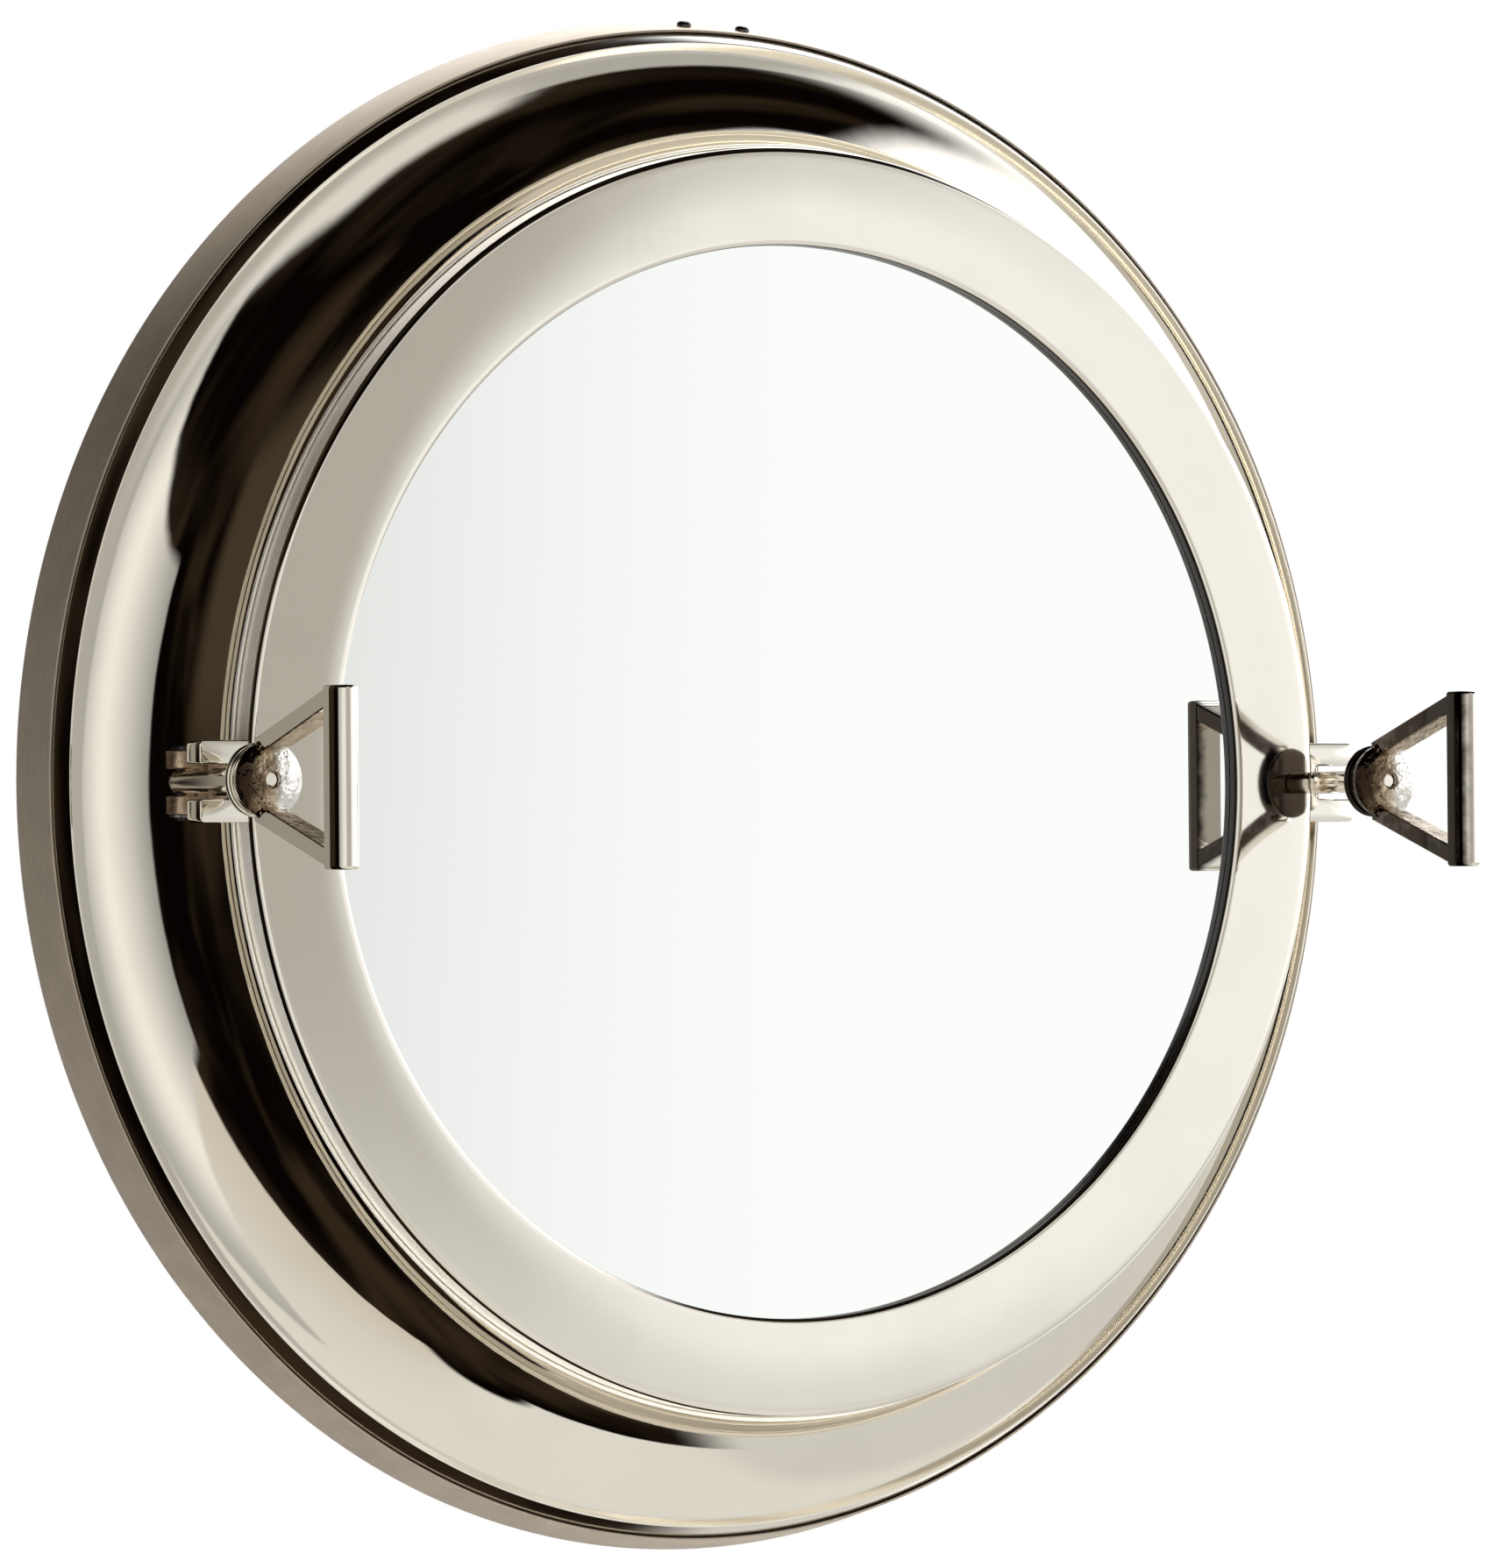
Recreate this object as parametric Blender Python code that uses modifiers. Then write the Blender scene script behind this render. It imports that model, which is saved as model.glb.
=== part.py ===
"""Round porthole mirror in polished nickel, held to its base by two swing-bolt dogs.

Metres, +Z up. The wall plane is y = 0, the front faces -Y, and the origin is the middle of the back.
The left dog is at -X and the right dog at +X, as seen from the front.
"""
import math

import bmesh
import bpy
from mathutils import Matrix, Vector

# --- driving dimensions ---------------------------------------------------------------------------
STEPS = 64                      # facets round the large rings
SMALL_STEPS = 20                # facets round bolts and hubs
TINY_STEPS = 12                 # facets round screws
GAP = 0.0003                    # clearance between pieces that touch
SHEET = 0.0016                  # spun sheet thickness of the dish
BAND_SHEET = 0.0010             # sheet thickness of the side band

BAND_BACK_R = 0.3040            # side band, outside radius at the wall
BAND_FRONT_R = 0.2998           # side band, outside radius at its front edge
BAND_DEPTH = 0.0185
FLANGE_INNER_R = 0.2820         # inward flange that the backing board screws to
BOARD_R = 0.3000
BOARD_THICK = 0.0050

DISH_EDGE_Y = -0.0178           # edge of the dish, just inside the band's front edge
CREST_R = 0.2944                # sharp crest between the outer chamfer and the cove
CREST_Y = -0.0250
CREST_WIDTH = 0.0006
CREST_FOOT_R = 0.2914           # foot of the crest's steep inner side
COVE_OUTER_R = 0.3000           # the cove is a quarter ellipse between these two corners
COVE_OUTER_Y = -0.0202
COVE_INNER_R = 0.2500
COVE_PARTS = 8
SEAT_Y = -0.0722                # flat seat that the front ring stands on, and the end of the cove
SPIGOT_R = 0.2460               # turned-up edge that centres the front ring
SPIGOT_TIP_Y = -0.0800

RING_R = 0.2495
RING_OPENING_R = 0.2108
RING_FACE_Y = -0.0850
RING_CROWN = 0.0016             # how far the middle of the face stands forward
RING_EDGE_ROUND = 0.0040
RING_BACK_Y = -0.0726
RING_PLATE_Y = -0.0820          # back of the face plate, which the glass lies against
RING_WALL_IN_R = 0.2464

GLASS_R = 0.2160
GLASS_FRONT_Y = -0.0817
GLASS_THICK = 0.0040
GASKET_WIDTH = 0.0120
GASKET_THICK = 0.0010
HARDBOARD_THICK = 0.0025

DOG_X = 0.2613                  # distance of the bolt's axis from the middle
PIVOT_Y = -0.0520               # swing pivot of the bolt
BOLT_R = 0.0044
BALL_R = 0.0046
SHOULDER_Y = -0.1087            # shoulder that the washer stands on
THREAD_R = 0.0028
THREAD_TIP_Y = -0.1206
PIN_R = 0.0020
PIN_HOLE_R = 0.0023

EAR_IN_Z = 0.0053               # clevis ears, inner and outer faces
EAR_OUT_Z = 0.0122
EAR_ROUND_R = 0.0052            # the ears stand out from the cove and end in this radius
EAR_ROOT = 0.0125               # from the pin to the blank's root, inside the wall of the cove
EAR_SLOT = 0.0053               # from the pin to the web that joins the ears

LUG_FRONT_Y = -0.0830
LUG_BACK_Y = -0.0730
LUG_END_X = 0.2708
LUG_HALF_Z = 0.0158
SLOT_HALF_Z = 0.0067
SLOT_ROOT_X = 0.2520

WASHER_R = 0.0143
WASHER_THICK = 0.0025
HUB_BACK_R = 0.0134
HUB_RIM_R = 0.0148
HUB_RIM_Y = -0.1184
HUB_DOME_Y = -0.1222
HUB_BORE_R = 0.0031
GRIP_HALF_X = 0.0060            # half the width of the arms and the grip bar
GRIP_FRONT_Y = -0.1785
GRIP_BAR = 0.0100               # depth of the grip bar, flat behind and half round in front
GRIP_ROUND_R = 0.0059

HANGER_TURN = math.radians(2.4)  # the hanging bracket sits a little right of the top
HANGER_SPACING = 0.0275
HANGER_SCREW_Y = -0.0100
BACK_SCREWS = 8
BACK_SCREW_R = 0.2910
CLIPS = 4
CLIP_SCREW_R = 0.2260

# --- scene ----------------------------------------------------------------------------------------
for old in list(bpy.data.objects):
    bpy.data.objects.remove(old, do_unlink=True)
parts = bpy.data.collections.new("porthole_mirror")
cutters = bpy.data.collections.new("cutters")
bpy.context.scene.collection.children.link(parts)
bpy.context.scene.collection.children.link(cutters)


def material(name, color, roughness, metallic):
    mat = bpy.data.materials.new(name)
    mat.use_nodes = True
    shader = mat.node_tree.nodes["Principled BSDF"]
    shader.inputs["Base Color"].default_value = (*color, 1.0)
    shader.inputs["Roughness"].default_value = roughness
    shader.inputs["Metallic"].default_value = metallic
    return mat


NICKEL = material("polished_nickel", (0.80, 0.77, 0.71), 0.06, 1.0)
SATIN = material("satin_nickel", (0.62, 0.59, 0.54), 0.34, 1.0)
CAST = material("cast_nickel", (0.66, 0.60, 0.51), 0.30, 1.0)
MIRROR = material("mirror", (0.93, 0.94, 0.94), 0.01, 1.0)
STEEL = material("dark_steel", (0.16, 0.15, 0.15), 0.35, 1.0)
ZINC = material("zinc_plate", (0.62, 0.63, 0.64), 0.35, 1.0)
BOARD = material("hardboard", (0.24, 0.15, 0.09), 0.75, 0.0)
FOAM = material("foam_tape", (0.06, 0.06, 0.06), 0.90, 0.0)


# --- shape helpers --------------------------------------------------------------------------------
def link(name, mesh, mat, location=(0, 0, 0), collection=None):
    obj = bpy.data.objects.new(name, mesh)
    obj.location = location
    (collection or parts).objects.link(obj)
    if collection is cutters:
        obj.hide_render = True
        obj.display_type = "WIRE"
    if mat:
        mesh.materials.append(mat)
    return obj


def smooth(obj, degrees=35):
    obj.data.shade_smooth()
    obj.data.set_sharp_from_angle(angle=math.radians(degrees))


def turned(name, profile, mat, location=(0, 0, 0), steps=STEPS, collection=None):
    """A solid of revolution about a line along Y; profile is a list of (radius, y)."""
    closed = min(r for r, _ in profile) > 0
    area = 0.0
    for (r0, y0), (r1, y1) in zip(profile, profile[1:] + profile[:1]):
        area += r0 * y1 - r1 * y0
    if area > 0:
        profile = profile[::-1]
    mesh = bpy.data.meshes.new(name)
    edges = [(i, i + 1) for i in range(len(profile) - 1)]
    if closed:
        edges.append((len(profile) - 1, 0))
    mesh.from_pydata([(r, y, 0.0) for r, y in profile], edges, [])
    obj = link(name, mesh, mat, location, collection)
    screw = obj.modifiers.new("Turn", "SCREW")
    screw.axis = "Y"
    screw.steps = steps
    screw.render_steps = steps
    screw.use_merge_vertices = True
    screw.merge_threshold = 0.00001
    screw.use_smooth_shade = False
    return obj


def applied(obj):
    """Bake an object's modifiers into its mesh."""
    deps = bpy.context.evaluated_depsgraph_get()
    baked = bpy.data.meshes.new_from_object(obj.evaluated_get(deps))
    obj.modifiers.clear()
    obj.data = baked
    return obj


def block(name, low, high, mat=None, location=(0, 0, 0), collection=None, bevel=0.0, segments=1):
    """A box between two corners, with its edges rounded."""
    bm = bmesh.new()
    bmesh.ops.create_cube(bm, size=1.0)
    size = [b - a for a, b in zip(low, high)]
    middle = [(a + b) / 2 for a, b in zip(low, high)]
    bmesh.ops.scale(bm, vec=size, verts=bm.verts)
    bmesh.ops.translate(bm, vec=middle, verts=bm.verts)
    if bevel:
        bmesh.ops.bevel(bm, geom=bm.edges, offset=bevel, segments=segments, affect="EDGES", profile=0.5)
    mesh = bpy.data.meshes.new(name)
    bm.to_mesh(mesh)
    bm.free()
    return link(name, mesh, mat, location, collection)


def rod(name, radius, start, end, mat=None, location=(0, 0, 0), collection=None, steps=TINY_STEPS):
    """A round bar between two points."""
    start = Vector(start)
    end = Vector(end)
    bm = bmesh.new()
    depth = (end - start).length
    bmesh.ops.create_cone(bm, cap_ends=True, segments=steps, radius1=radius, radius2=radius, depth=depth)
    turn = (end - start).to_track_quat("Z", "Y").to_matrix().to_4x4()
    bmesh.ops.transform(bm, matrix=Matrix.Translation((start + end) / 2) @ turn, verts=bm.verts)
    mesh = bpy.data.meshes.new(name)
    bm.to_mesh(mesh)
    bm.free()
    return link(name, mesh, mat, location, collection)


def plate(name, outlines, thickness, mat=None, location=(0, 0, 0), matrix=None, collection=None):
    """A flat outline with holes, filled and given a thickness along its own Z, then placed by matrix."""
    curve = bpy.data.curves.new(name, "CURVE")
    curve.dimensions = "2D"
    curve.fill_mode = "BOTH"
    curve.extrude = thickness / 2
    for outline in outlines:
        spline = curve.splines.new("POLY")
        spline.points.add(len(outline) - 1)
        for point, (x, y) in zip(spline.points, outline):
            point.co = (x, y, 0.0, 1.0)
        spline.use_cyclic_u = True
    guide = bpy.data.objects.new(name + "_outline", curve)
    parts.objects.link(guide)
    deps = bpy.context.evaluated_depsgraph_get()
    mesh = bpy.data.meshes.new_from_object(guide.evaluated_get(deps))
    bpy.data.objects.remove(guide)
    bm = bmesh.new()
    bm.from_mesh(mesh)
    bmesh.ops.remove_doubles(bm, verts=bm.verts, dist=0.000005)
    bmesh.ops.dissolve_limit(bm, angle_limit=math.radians(1), verts=bm.verts, edges=bm.edges)
    if matrix:
        bmesh.ops.transform(bm, matrix=matrix, verts=bm.verts)
    bmesh.ops.recalc_face_normals(bm, faces=bm.faces)
    bm.to_mesh(mesh)
    bm.free()
    mesh.materials.clear()
    return link(name, mesh, mat, location, collection)


def combine(obj, tool, operation):
    """Boolean obj with tool; a tool that is added disappears into obj."""
    mod = obj.modifiers.new(operation.title(), "BOOLEAN")
    mod.operation = operation
    mod.solver = "EXACT"
    mod.object = tool
    if operation == "UNION":
        applied(obj)
        bpy.data.objects.remove(tool)
    return obj


def arc(cx, cy, radius, start, end, count):
    """Points on an arc from start to end, in degrees."""
    points = []
    for i in range(count + 1):
        angle = math.radians(start + (end - start) * i / count)
        points.append((cx + radius * math.cos(angle), cy + radius * math.sin(angle)))
    return points


def ring_frame(angle, radius=0.0, y=0.0):
    """Local X outward, local Z along the tangent, at an angle from +X round the Y axis."""
    outward = Vector((math.cos(angle), 0.0, math.sin(angle)))
    forward = Vector((0.0, 1.0, 0.0))
    tangent = outward.cross(forward)
    frame = Matrix((outward, forward, tangent)).transposed().to_4x4()
    return Matrix.Translation(outward * radius + forward * y) @ frame


# --- frame: side band, dish, board, hanger --------------------------------------------------------
def cove(offset=0.0):
    """Quarter-ellipse cove of the dish from the crest's foot to the seat, moved back by offset."""
    half_r = COVE_OUTER_R - COVE_INNER_R + offset
    half_y = COVE_OUTER_Y - SEAT_Y + offset
    first = math.acos((COVE_OUTER_R - CREST_FOOT_R) / half_r)
    points = []
    for i in range(COVE_PARTS + 1):
        t = first * (1 - i / COVE_PARTS)
        points.append((COVE_OUTER_R - half_r * math.cos(t), SEAT_Y + half_y * math.sin(t)))
    return points


BAND_SLOPE = math.atan2(BAND_BACK_R - BAND_FRONT_R, BAND_DEPTH)
hanger_angle = math.pi / 2 - HANGER_TURN


def side_band():
    flange_y = -BOARD_THICK - GAP
    profile = [
        (BAND_BACK_R, 0.0),
        (BAND_FRONT_R, -BAND_DEPTH),
        (BAND_FRONT_R - BAND_SHEET, -BAND_DEPTH),
        (BAND_BACK_R - BAND_SHEET + (flange_y - SHEET) * math.tan(BAND_SLOPE), flange_y - SHEET),
        (FLANGE_INNER_R, flange_y - SHEET),
        (FLANGE_INNER_R, flange_y),
        (BAND_BACK_R - BAND_SHEET + flange_y * math.tan(BAND_SLOPE), flange_y),
        (BAND_BACK_R - BAND_SHEET, 0.0),
    ]
    band = applied(turned("side_band", profile, SATIN))
    smooth(band, 20)
    notch = block("notch_cut", (-0.020, -0.0085, 0.2700), (0.020, -0.0045, 0.2998), collection=cutters)
    notch.rotation_euler = (0, HANGER_TURN, 0)
    combine(band, notch, "DIFFERENCE")
    return band


def dish():
    edge_r = BAND_FRONT_R - BAND_SHEET - GAP
    profile = [(edge_r, DISH_EDGE_Y), (CREST_R, CREST_Y), (CREST_R - CREST_WIDTH, CREST_Y)]
    profile += cove()
    profile += [
        (SPIGOT_R, SEAT_Y),
        (SPIGOT_R, SPIGOT_TIP_Y),
        (SPIGOT_R - SHEET, SPIGOT_TIP_Y),
        (SPIGOT_R - SHEET, SEAT_Y + SHEET),
        (COVE_INNER_R - SHEET, SEAT_Y + SHEET),
    ]
    profile += cove(SHEET)[-2::-1]
    profile += [(CREST_R - CREST_WIDTH, CREST_Y + SHEET * 1.6), (edge_r, DISH_EDGE_Y + SHEET)]
    body = applied(turned("dish", profile, NICKEL))
    smooth(body, 25)
    return body


def backing_board():
    profile = [(0, -BOARD_THICK), (BOARD_R, -BOARD_THICK), (BOARD_R, 0), (0, 0)]
    board = applied(turned("backing_board", profile, BOARD))
    notch = block("board_notch_cut", (-0.021, -0.010, 0.2580), (0.021, 0.005, 0.3200), collection=cutters)
    notch.rotation_euler = (0, HANGER_TURN, 0)
    combine(board, notch, "DIFFERENCE")
    return board


def countersunk(name, extra, mat=None, collection=None):
    """Countersunk screw from the back, or its hole when extra is the clearance."""
    profile = [
        (0.0, extra - 0.0001),
        (0.0035 + extra, extra - 0.0001),
        (0.0035 + extra, -0.0005),
        (0.0015 + extra, -0.0025 - extra),
        (0.0015 + extra, -0.0105 - extra),
        (0.0, -0.0105 - extra),
    ]
    return turned(name, profile, mat, steps=TINY_STEPS, collection=collection)


def backing_screws(board, band):
    for i in range(BACK_SCREWS):
        angle = 2 * math.pi * (i + 0.5) / BACK_SCREWS
        place = (BACK_SCREW_R * math.cos(angle), 0.0, BACK_SCREW_R * math.sin(angle))
        screw = applied(countersunk(f"backing_screw_{i + 1}", 0.0, ZINC))
        screw.location = place
        hole = applied(countersunk(f"backing_hole_{i + 1}", GAP, collection=cutters))
        hole.location = place
        combine(board, hole, "DIFFERENCE")
        combine(band, hole, "DIFFERENCE")


def hanger(band):
    """Folded bracket with a keyhole, held by two pan-head screws through the top of the band."""
    frame = ring_frame(hanger_angle)
    side = [
        (0.2975, -0.0155),
        (0.3003, -0.0024),
        (0.2630, -0.0024),
        (0.2630, -0.0044),
        (0.2980, -0.0044),
        (0.2955, -0.0151),
    ]
    bracket = plate("hanging_bracket", [side], 0.0360, ZINC, matrix=frame)
    front = (0, -0.010, 0.2710)
    back = (0, 0.004, 0.2710)
    head_hole = rod("keyhole_round_cut", 0.0045, front, back, collection=cutters, steps=16)
    low = (-0.0022, -0.010, 0.2710)
    high = (0.0022, 0.004, 0.2830)
    shank_slot = block("keyhole_slot_cut", low, high, collection=cutters)
    for cut in (head_hole, shank_slot):
        cut.rotation_euler = (0, HANGER_TURN, 0)
        combine(bracket, cut, "DIFFERENCE")
    surface_r = BAND_BACK_R + HANGER_SCREW_Y * math.tan(BAND_SLOPE)
    for side_name, offset in (("left", -0.5), ("right", 0.5)):
        angle = hanger_angle - offset * HANGER_SPACING / surface_r
        tilt = Matrix.Rotation(-BAND_SLOPE, 4, "Z")
        place = ring_frame(angle, surface_r, HANGER_SCREW_Y) @ tilt
        turn = place @ Matrix.Rotation(-math.pi / 2, 4, "Z")
        head = [(0, 0.0021), (0.0017, 0.0020), (0.0027, 0.0013), (0.0029, GAP)]
        head += [(0.0015, GAP), (0.0015, -0.0085), (0, -0.0085)]
        screw = applied(turned(f"hanger_screw_{side_name}", head, STEEL, steps=TINY_STEPS))
        screw.data.transform(turn)
        hole = rod(f"hanger_hole_{side_name}", 0.0018, (0.003, 0, 0), (-0.0070, 0, 0), collection=cutters)
        hole.data.transform(place)
        combine(band, hole, "DIFFERENCE")
        combine(bracket, hole, "DIFFERENCE")
        nut_profile = [(0.0018, -0.0081), (0.0031, -0.0081), (0.0031, -0.0057), (0.0018, -0.0057)]
        nut = applied(turned(f"hanger_nut_{side_name}", nut_profile, ZINC, steps=6))
        nut.data.transform(turn)


# --- glazed ring: front ring, fork lugs, mirror, clips --------------------------------------------
def front_ring():
    edge = RING_EDGE_ROUND
    profile = [(RING_R, RING_BACK_Y)]
    profile += arc(RING_R - edge, RING_FACE_Y + edge, edge, 0, -90, 4)
    face_in = RING_OPENING_R + 0.0020
    face_out = RING_R - edge
    for i in range(1, 5):
        share = i / 5
        radius = face_out + (face_in - face_out) * share
        crown = RING_CROWN * math.sin(math.pi / 2 * min(1.0, share * 1.25))
        profile.append((radius, RING_FACE_Y - crown))
    profile += arc(face_in, RING_FACE_Y - RING_CROWN + 0.0020, 0.0020, -90, -180, 2)
    profile += [
        (RING_OPENING_R, RING_PLATE_Y),
        (RING_WALL_IN_R, RING_PLATE_Y),
        (RING_WALL_IN_R, RING_BACK_Y),
    ]
    ring = applied(turned("front_ring", profile, NICKEL))
    smooth(ring, 25)
    return ring


def glazing(ring):
    back = GLASS_FRONT_Y + GLASS_THICK
    glass_profile = [(0, GLASS_FRONT_Y), (GLASS_R, GLASS_FRONT_Y), (GLASS_R, back), (0, back)]
    applied(turned("mirror_glass", glass_profile, MIRROR))
    tape = back + GAP
    tape_end = tape + GASKET_THICK
    inner = GLASS_R - GASKET_WIDTH
    tape_profile = [(GLASS_R, tape_end), (GLASS_R, tape), (inner, tape), (inner, tape_end)]
    applied(turned("foam_tape", tape_profile, FOAM))
    card = tape_end + GAP
    card_end = card + HARDBOARD_THICK
    applied(turned("glass_backing", [(0, card), (GLASS_R, card), (GLASS_R, card_end), (0, card_end)], BOARD))
    foot_y = RING_PLATE_Y + GAP
    seat = foot_y + 0.0012 + GAP
    tab_y = card_end + GAP
    side = [
        (0.2050, tab_y),
        (0.2172, tab_y),
        (0.2172, foot_y),
        (0.2330, foot_y),
        (0.2330, foot_y + 0.0012),
        (0.2185, foot_y + 0.0012),
        (0.2185, tab_y + 0.0012),
        (0.2050, tab_y + 0.0012),
    ]
    for i in range(CLIPS):
        angle = 2 * math.pi * (i + 0.5) / CLIPS
        frame = ring_frame(angle)
        clip = plate(f"glass_clip_{i + 1}", [side], 0.0140, ZINC, matrix=frame)
        head = [(0, seat + 0.0020), (0.0022, seat + 0.0018), (0.0030, seat)]
        head += [(0.0014, seat), (0.0014, -0.0843), (0, -0.0843)]
        screw = applied(turned(f"clip_screw_{i + 1}", head, ZINC, steps=TINY_STEPS))
        place = (CLIP_SCREW_R * math.cos(angle), 0.0, CLIP_SCREW_R * math.sin(angle))
        screw.location = place
        hole = rod(f"clip_hole_{i + 1}", 0.0017, (0, -0.0846, 0), (0, -0.0770, 0), collection=cutters)
        hole.location = place
        combine(clip, hole, "DIFFERENCE")
        combine(ring, hole, "DIFFERENCE")


# --- the two dogs ---------------------------------------------------------------------------------
def fork_lug(side, sign):
    """Slotted lug on the rim of the front ring; the bolt stands in its slot."""
    root = 0.2440
    outline = [
        (sign * root, -LUG_HALF_Z),
        (sign * (LUG_END_X - 0.0015), -LUG_HALF_Z),
        (sign * LUG_END_X, -LUG_HALF_Z + 0.0015),
        (sign * LUG_END_X, -SLOT_HALF_Z),
        (sign * (SLOT_ROOT_X + 0.002), -SLOT_HALF_Z),
        (sign * SLOT_ROOT_X, -SLOT_HALF_Z + 0.002),
        (sign * SLOT_ROOT_X, SLOT_HALF_Z - 0.002),
        (sign * (SLOT_ROOT_X + 0.002), SLOT_HALF_Z),
        (sign * LUG_END_X, SLOT_HALF_Z),
        (sign * LUG_END_X, LUG_HALF_Z - 0.0015),
        (sign * (LUG_END_X - 0.0015), LUG_HALF_Z),
        (sign * root, LUG_HALF_Z),
    ]
    middle_y = (LUG_FRONT_Y + LUG_BACK_Y) / 2
    stand = Matrix.Translation((0, middle_y, 0)) @ Matrix.Rotation(math.pi / 2, 4, "X")
    lug = plate(f"{side}_fork_lug", [outline], LUG_BACK_Y - LUG_FRONT_Y, NICKEL, matrix=stand)
    reach = RING_R + GAP
    disc = [(0, -0.090), (reach, -0.090), (reach, -0.065), (0, -0.065)]
    combine(lug, turned(f"{side}_lug_cut", disc, None, collection=cutters), "DIFFERENCE")
    return lug


def clevis(side, sign):
    """Two ears on the wall of the cove, joined by a web, with the bolt's ball between them."""
    outline = [(sign * x, y) for x, y in arc(0, 0, EAR_ROUND_R, -90, 90, 8)]
    outline += [(-sign * EAR_ROOT, EAR_ROUND_R), (-sign * EAR_ROOT, -EAR_ROUND_R)]
    origin = (sign * DOG_X, PIVOT_Y, 0.0)
    ears = plate(f"{side}_bolt_clevis", [outline], 2 * EAR_OUT_Z, CAST, location=origin)
    mouth = sorted((-sign * EAR_SLOT, sign * 0.02))
    low = (mouth[0], -0.02, -EAR_IN_Z)
    high = (mouth[1], 0.02, EAR_IN_Z)
    slot = block(f"{side}_slot_cut", low, high, location=origin, collection=cutters)
    combine(ears, slot, "DIFFERENCE")
    behind = cove(-GAP)
    behind += [(COVE_INNER_R - 0.010, SEAT_Y), (COVE_INNER_R - 0.010, 0.0), (COVE_OUTER_R, 0.0)]
    combine(ears, turned(f"{side}_clevis_cut", behind, None, collection=cutters), "DIFFERENCE")
    low = (0, 0, -0.02)
    high = (0, 0, 0.02)
    hole = rod(f"{side}_pin_hole_cut", PIN_HOLE_R, low, high, location=origin, collection=cutters)
    combine(ears, hole, "DIFFERENCE")
    return hole


def pivot_pin(side, sign):
    """Headed pin through the ears, kept by a spring clip at its lower end."""
    origin = (sign * DOG_X, PIVOT_Y, 0.0)
    upright = Matrix.Rotation(math.pi / 2, 4, "X")
    top = EAR_OUT_Z + GAP
    profile = [(0, -top - 0.0014), (0.0030, -top - 0.0014), (0.0034, -top)]
    profile += [(PIN_R, -top), (PIN_R, top + 0.0022), (0, top + 0.0022)]
    pin = applied(turned(f"{side}_pivot_pin", profile, STEEL, location=origin, steps=TINY_STEPS))
    pin.data.transform(upright.inverted())
    bore = PIN_R + GAP
    ring = [(bore, top), (0.0040, top), (0.0040, top + 0.0009), (bore, top + 0.0009)]
    clip = applied(turned(f"{side}_pin_clip", ring, ZINC, location=origin, steps=TINY_STEPS))
    clip.data.transform(upright.inverted())


def swing_bolt(side, sign, pin_hole):
    """Ball end on the pivot, plain shank, and a thinner threaded end for the wing nut."""
    origin = (sign * DOG_X, PIVOT_Y, 0.0)
    profile = [(0.0, BALL_R)]
    profile += [(out, along) for along, out in arc(0, 0, BALL_R, 30, 90, 2)]
    profile += [
        (BOLT_R, -math.sqrt(BALL_R ** 2 - BOLT_R ** 2)),
        (BOLT_R, SHOULDER_Y - PIVOT_Y),
        (THREAD_R, SHOULDER_Y - PIVOT_Y),
        (THREAD_R, THREAD_TIP_Y - PIVOT_Y + 0.0006),
        (THREAD_R - 0.0006, THREAD_TIP_Y - PIVOT_Y),
        (0.0, THREAD_TIP_Y - PIVOT_Y),
    ]
    bolt = applied(turned(f"{side}_swing_bolt", profile, NICKEL, location=origin, steps=SMALL_STEPS))
    smooth(bolt, 30)
    combine(bolt, pin_hole, "DIFFERENCE")


def washer(side, sign):
    front = SHOULDER_Y - GAP
    back = front - WASHER_THICK
    profile = [(HUB_BORE_R, front), (WASHER_R, front), (WASHER_R, back), (HUB_BORE_R, back)]
    ring = applied(turned(f"{side}_washer", profile, NICKEL, location=(sign * DOG_X, 0, 0), steps=24))
    smooth(ring, 30)


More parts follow.
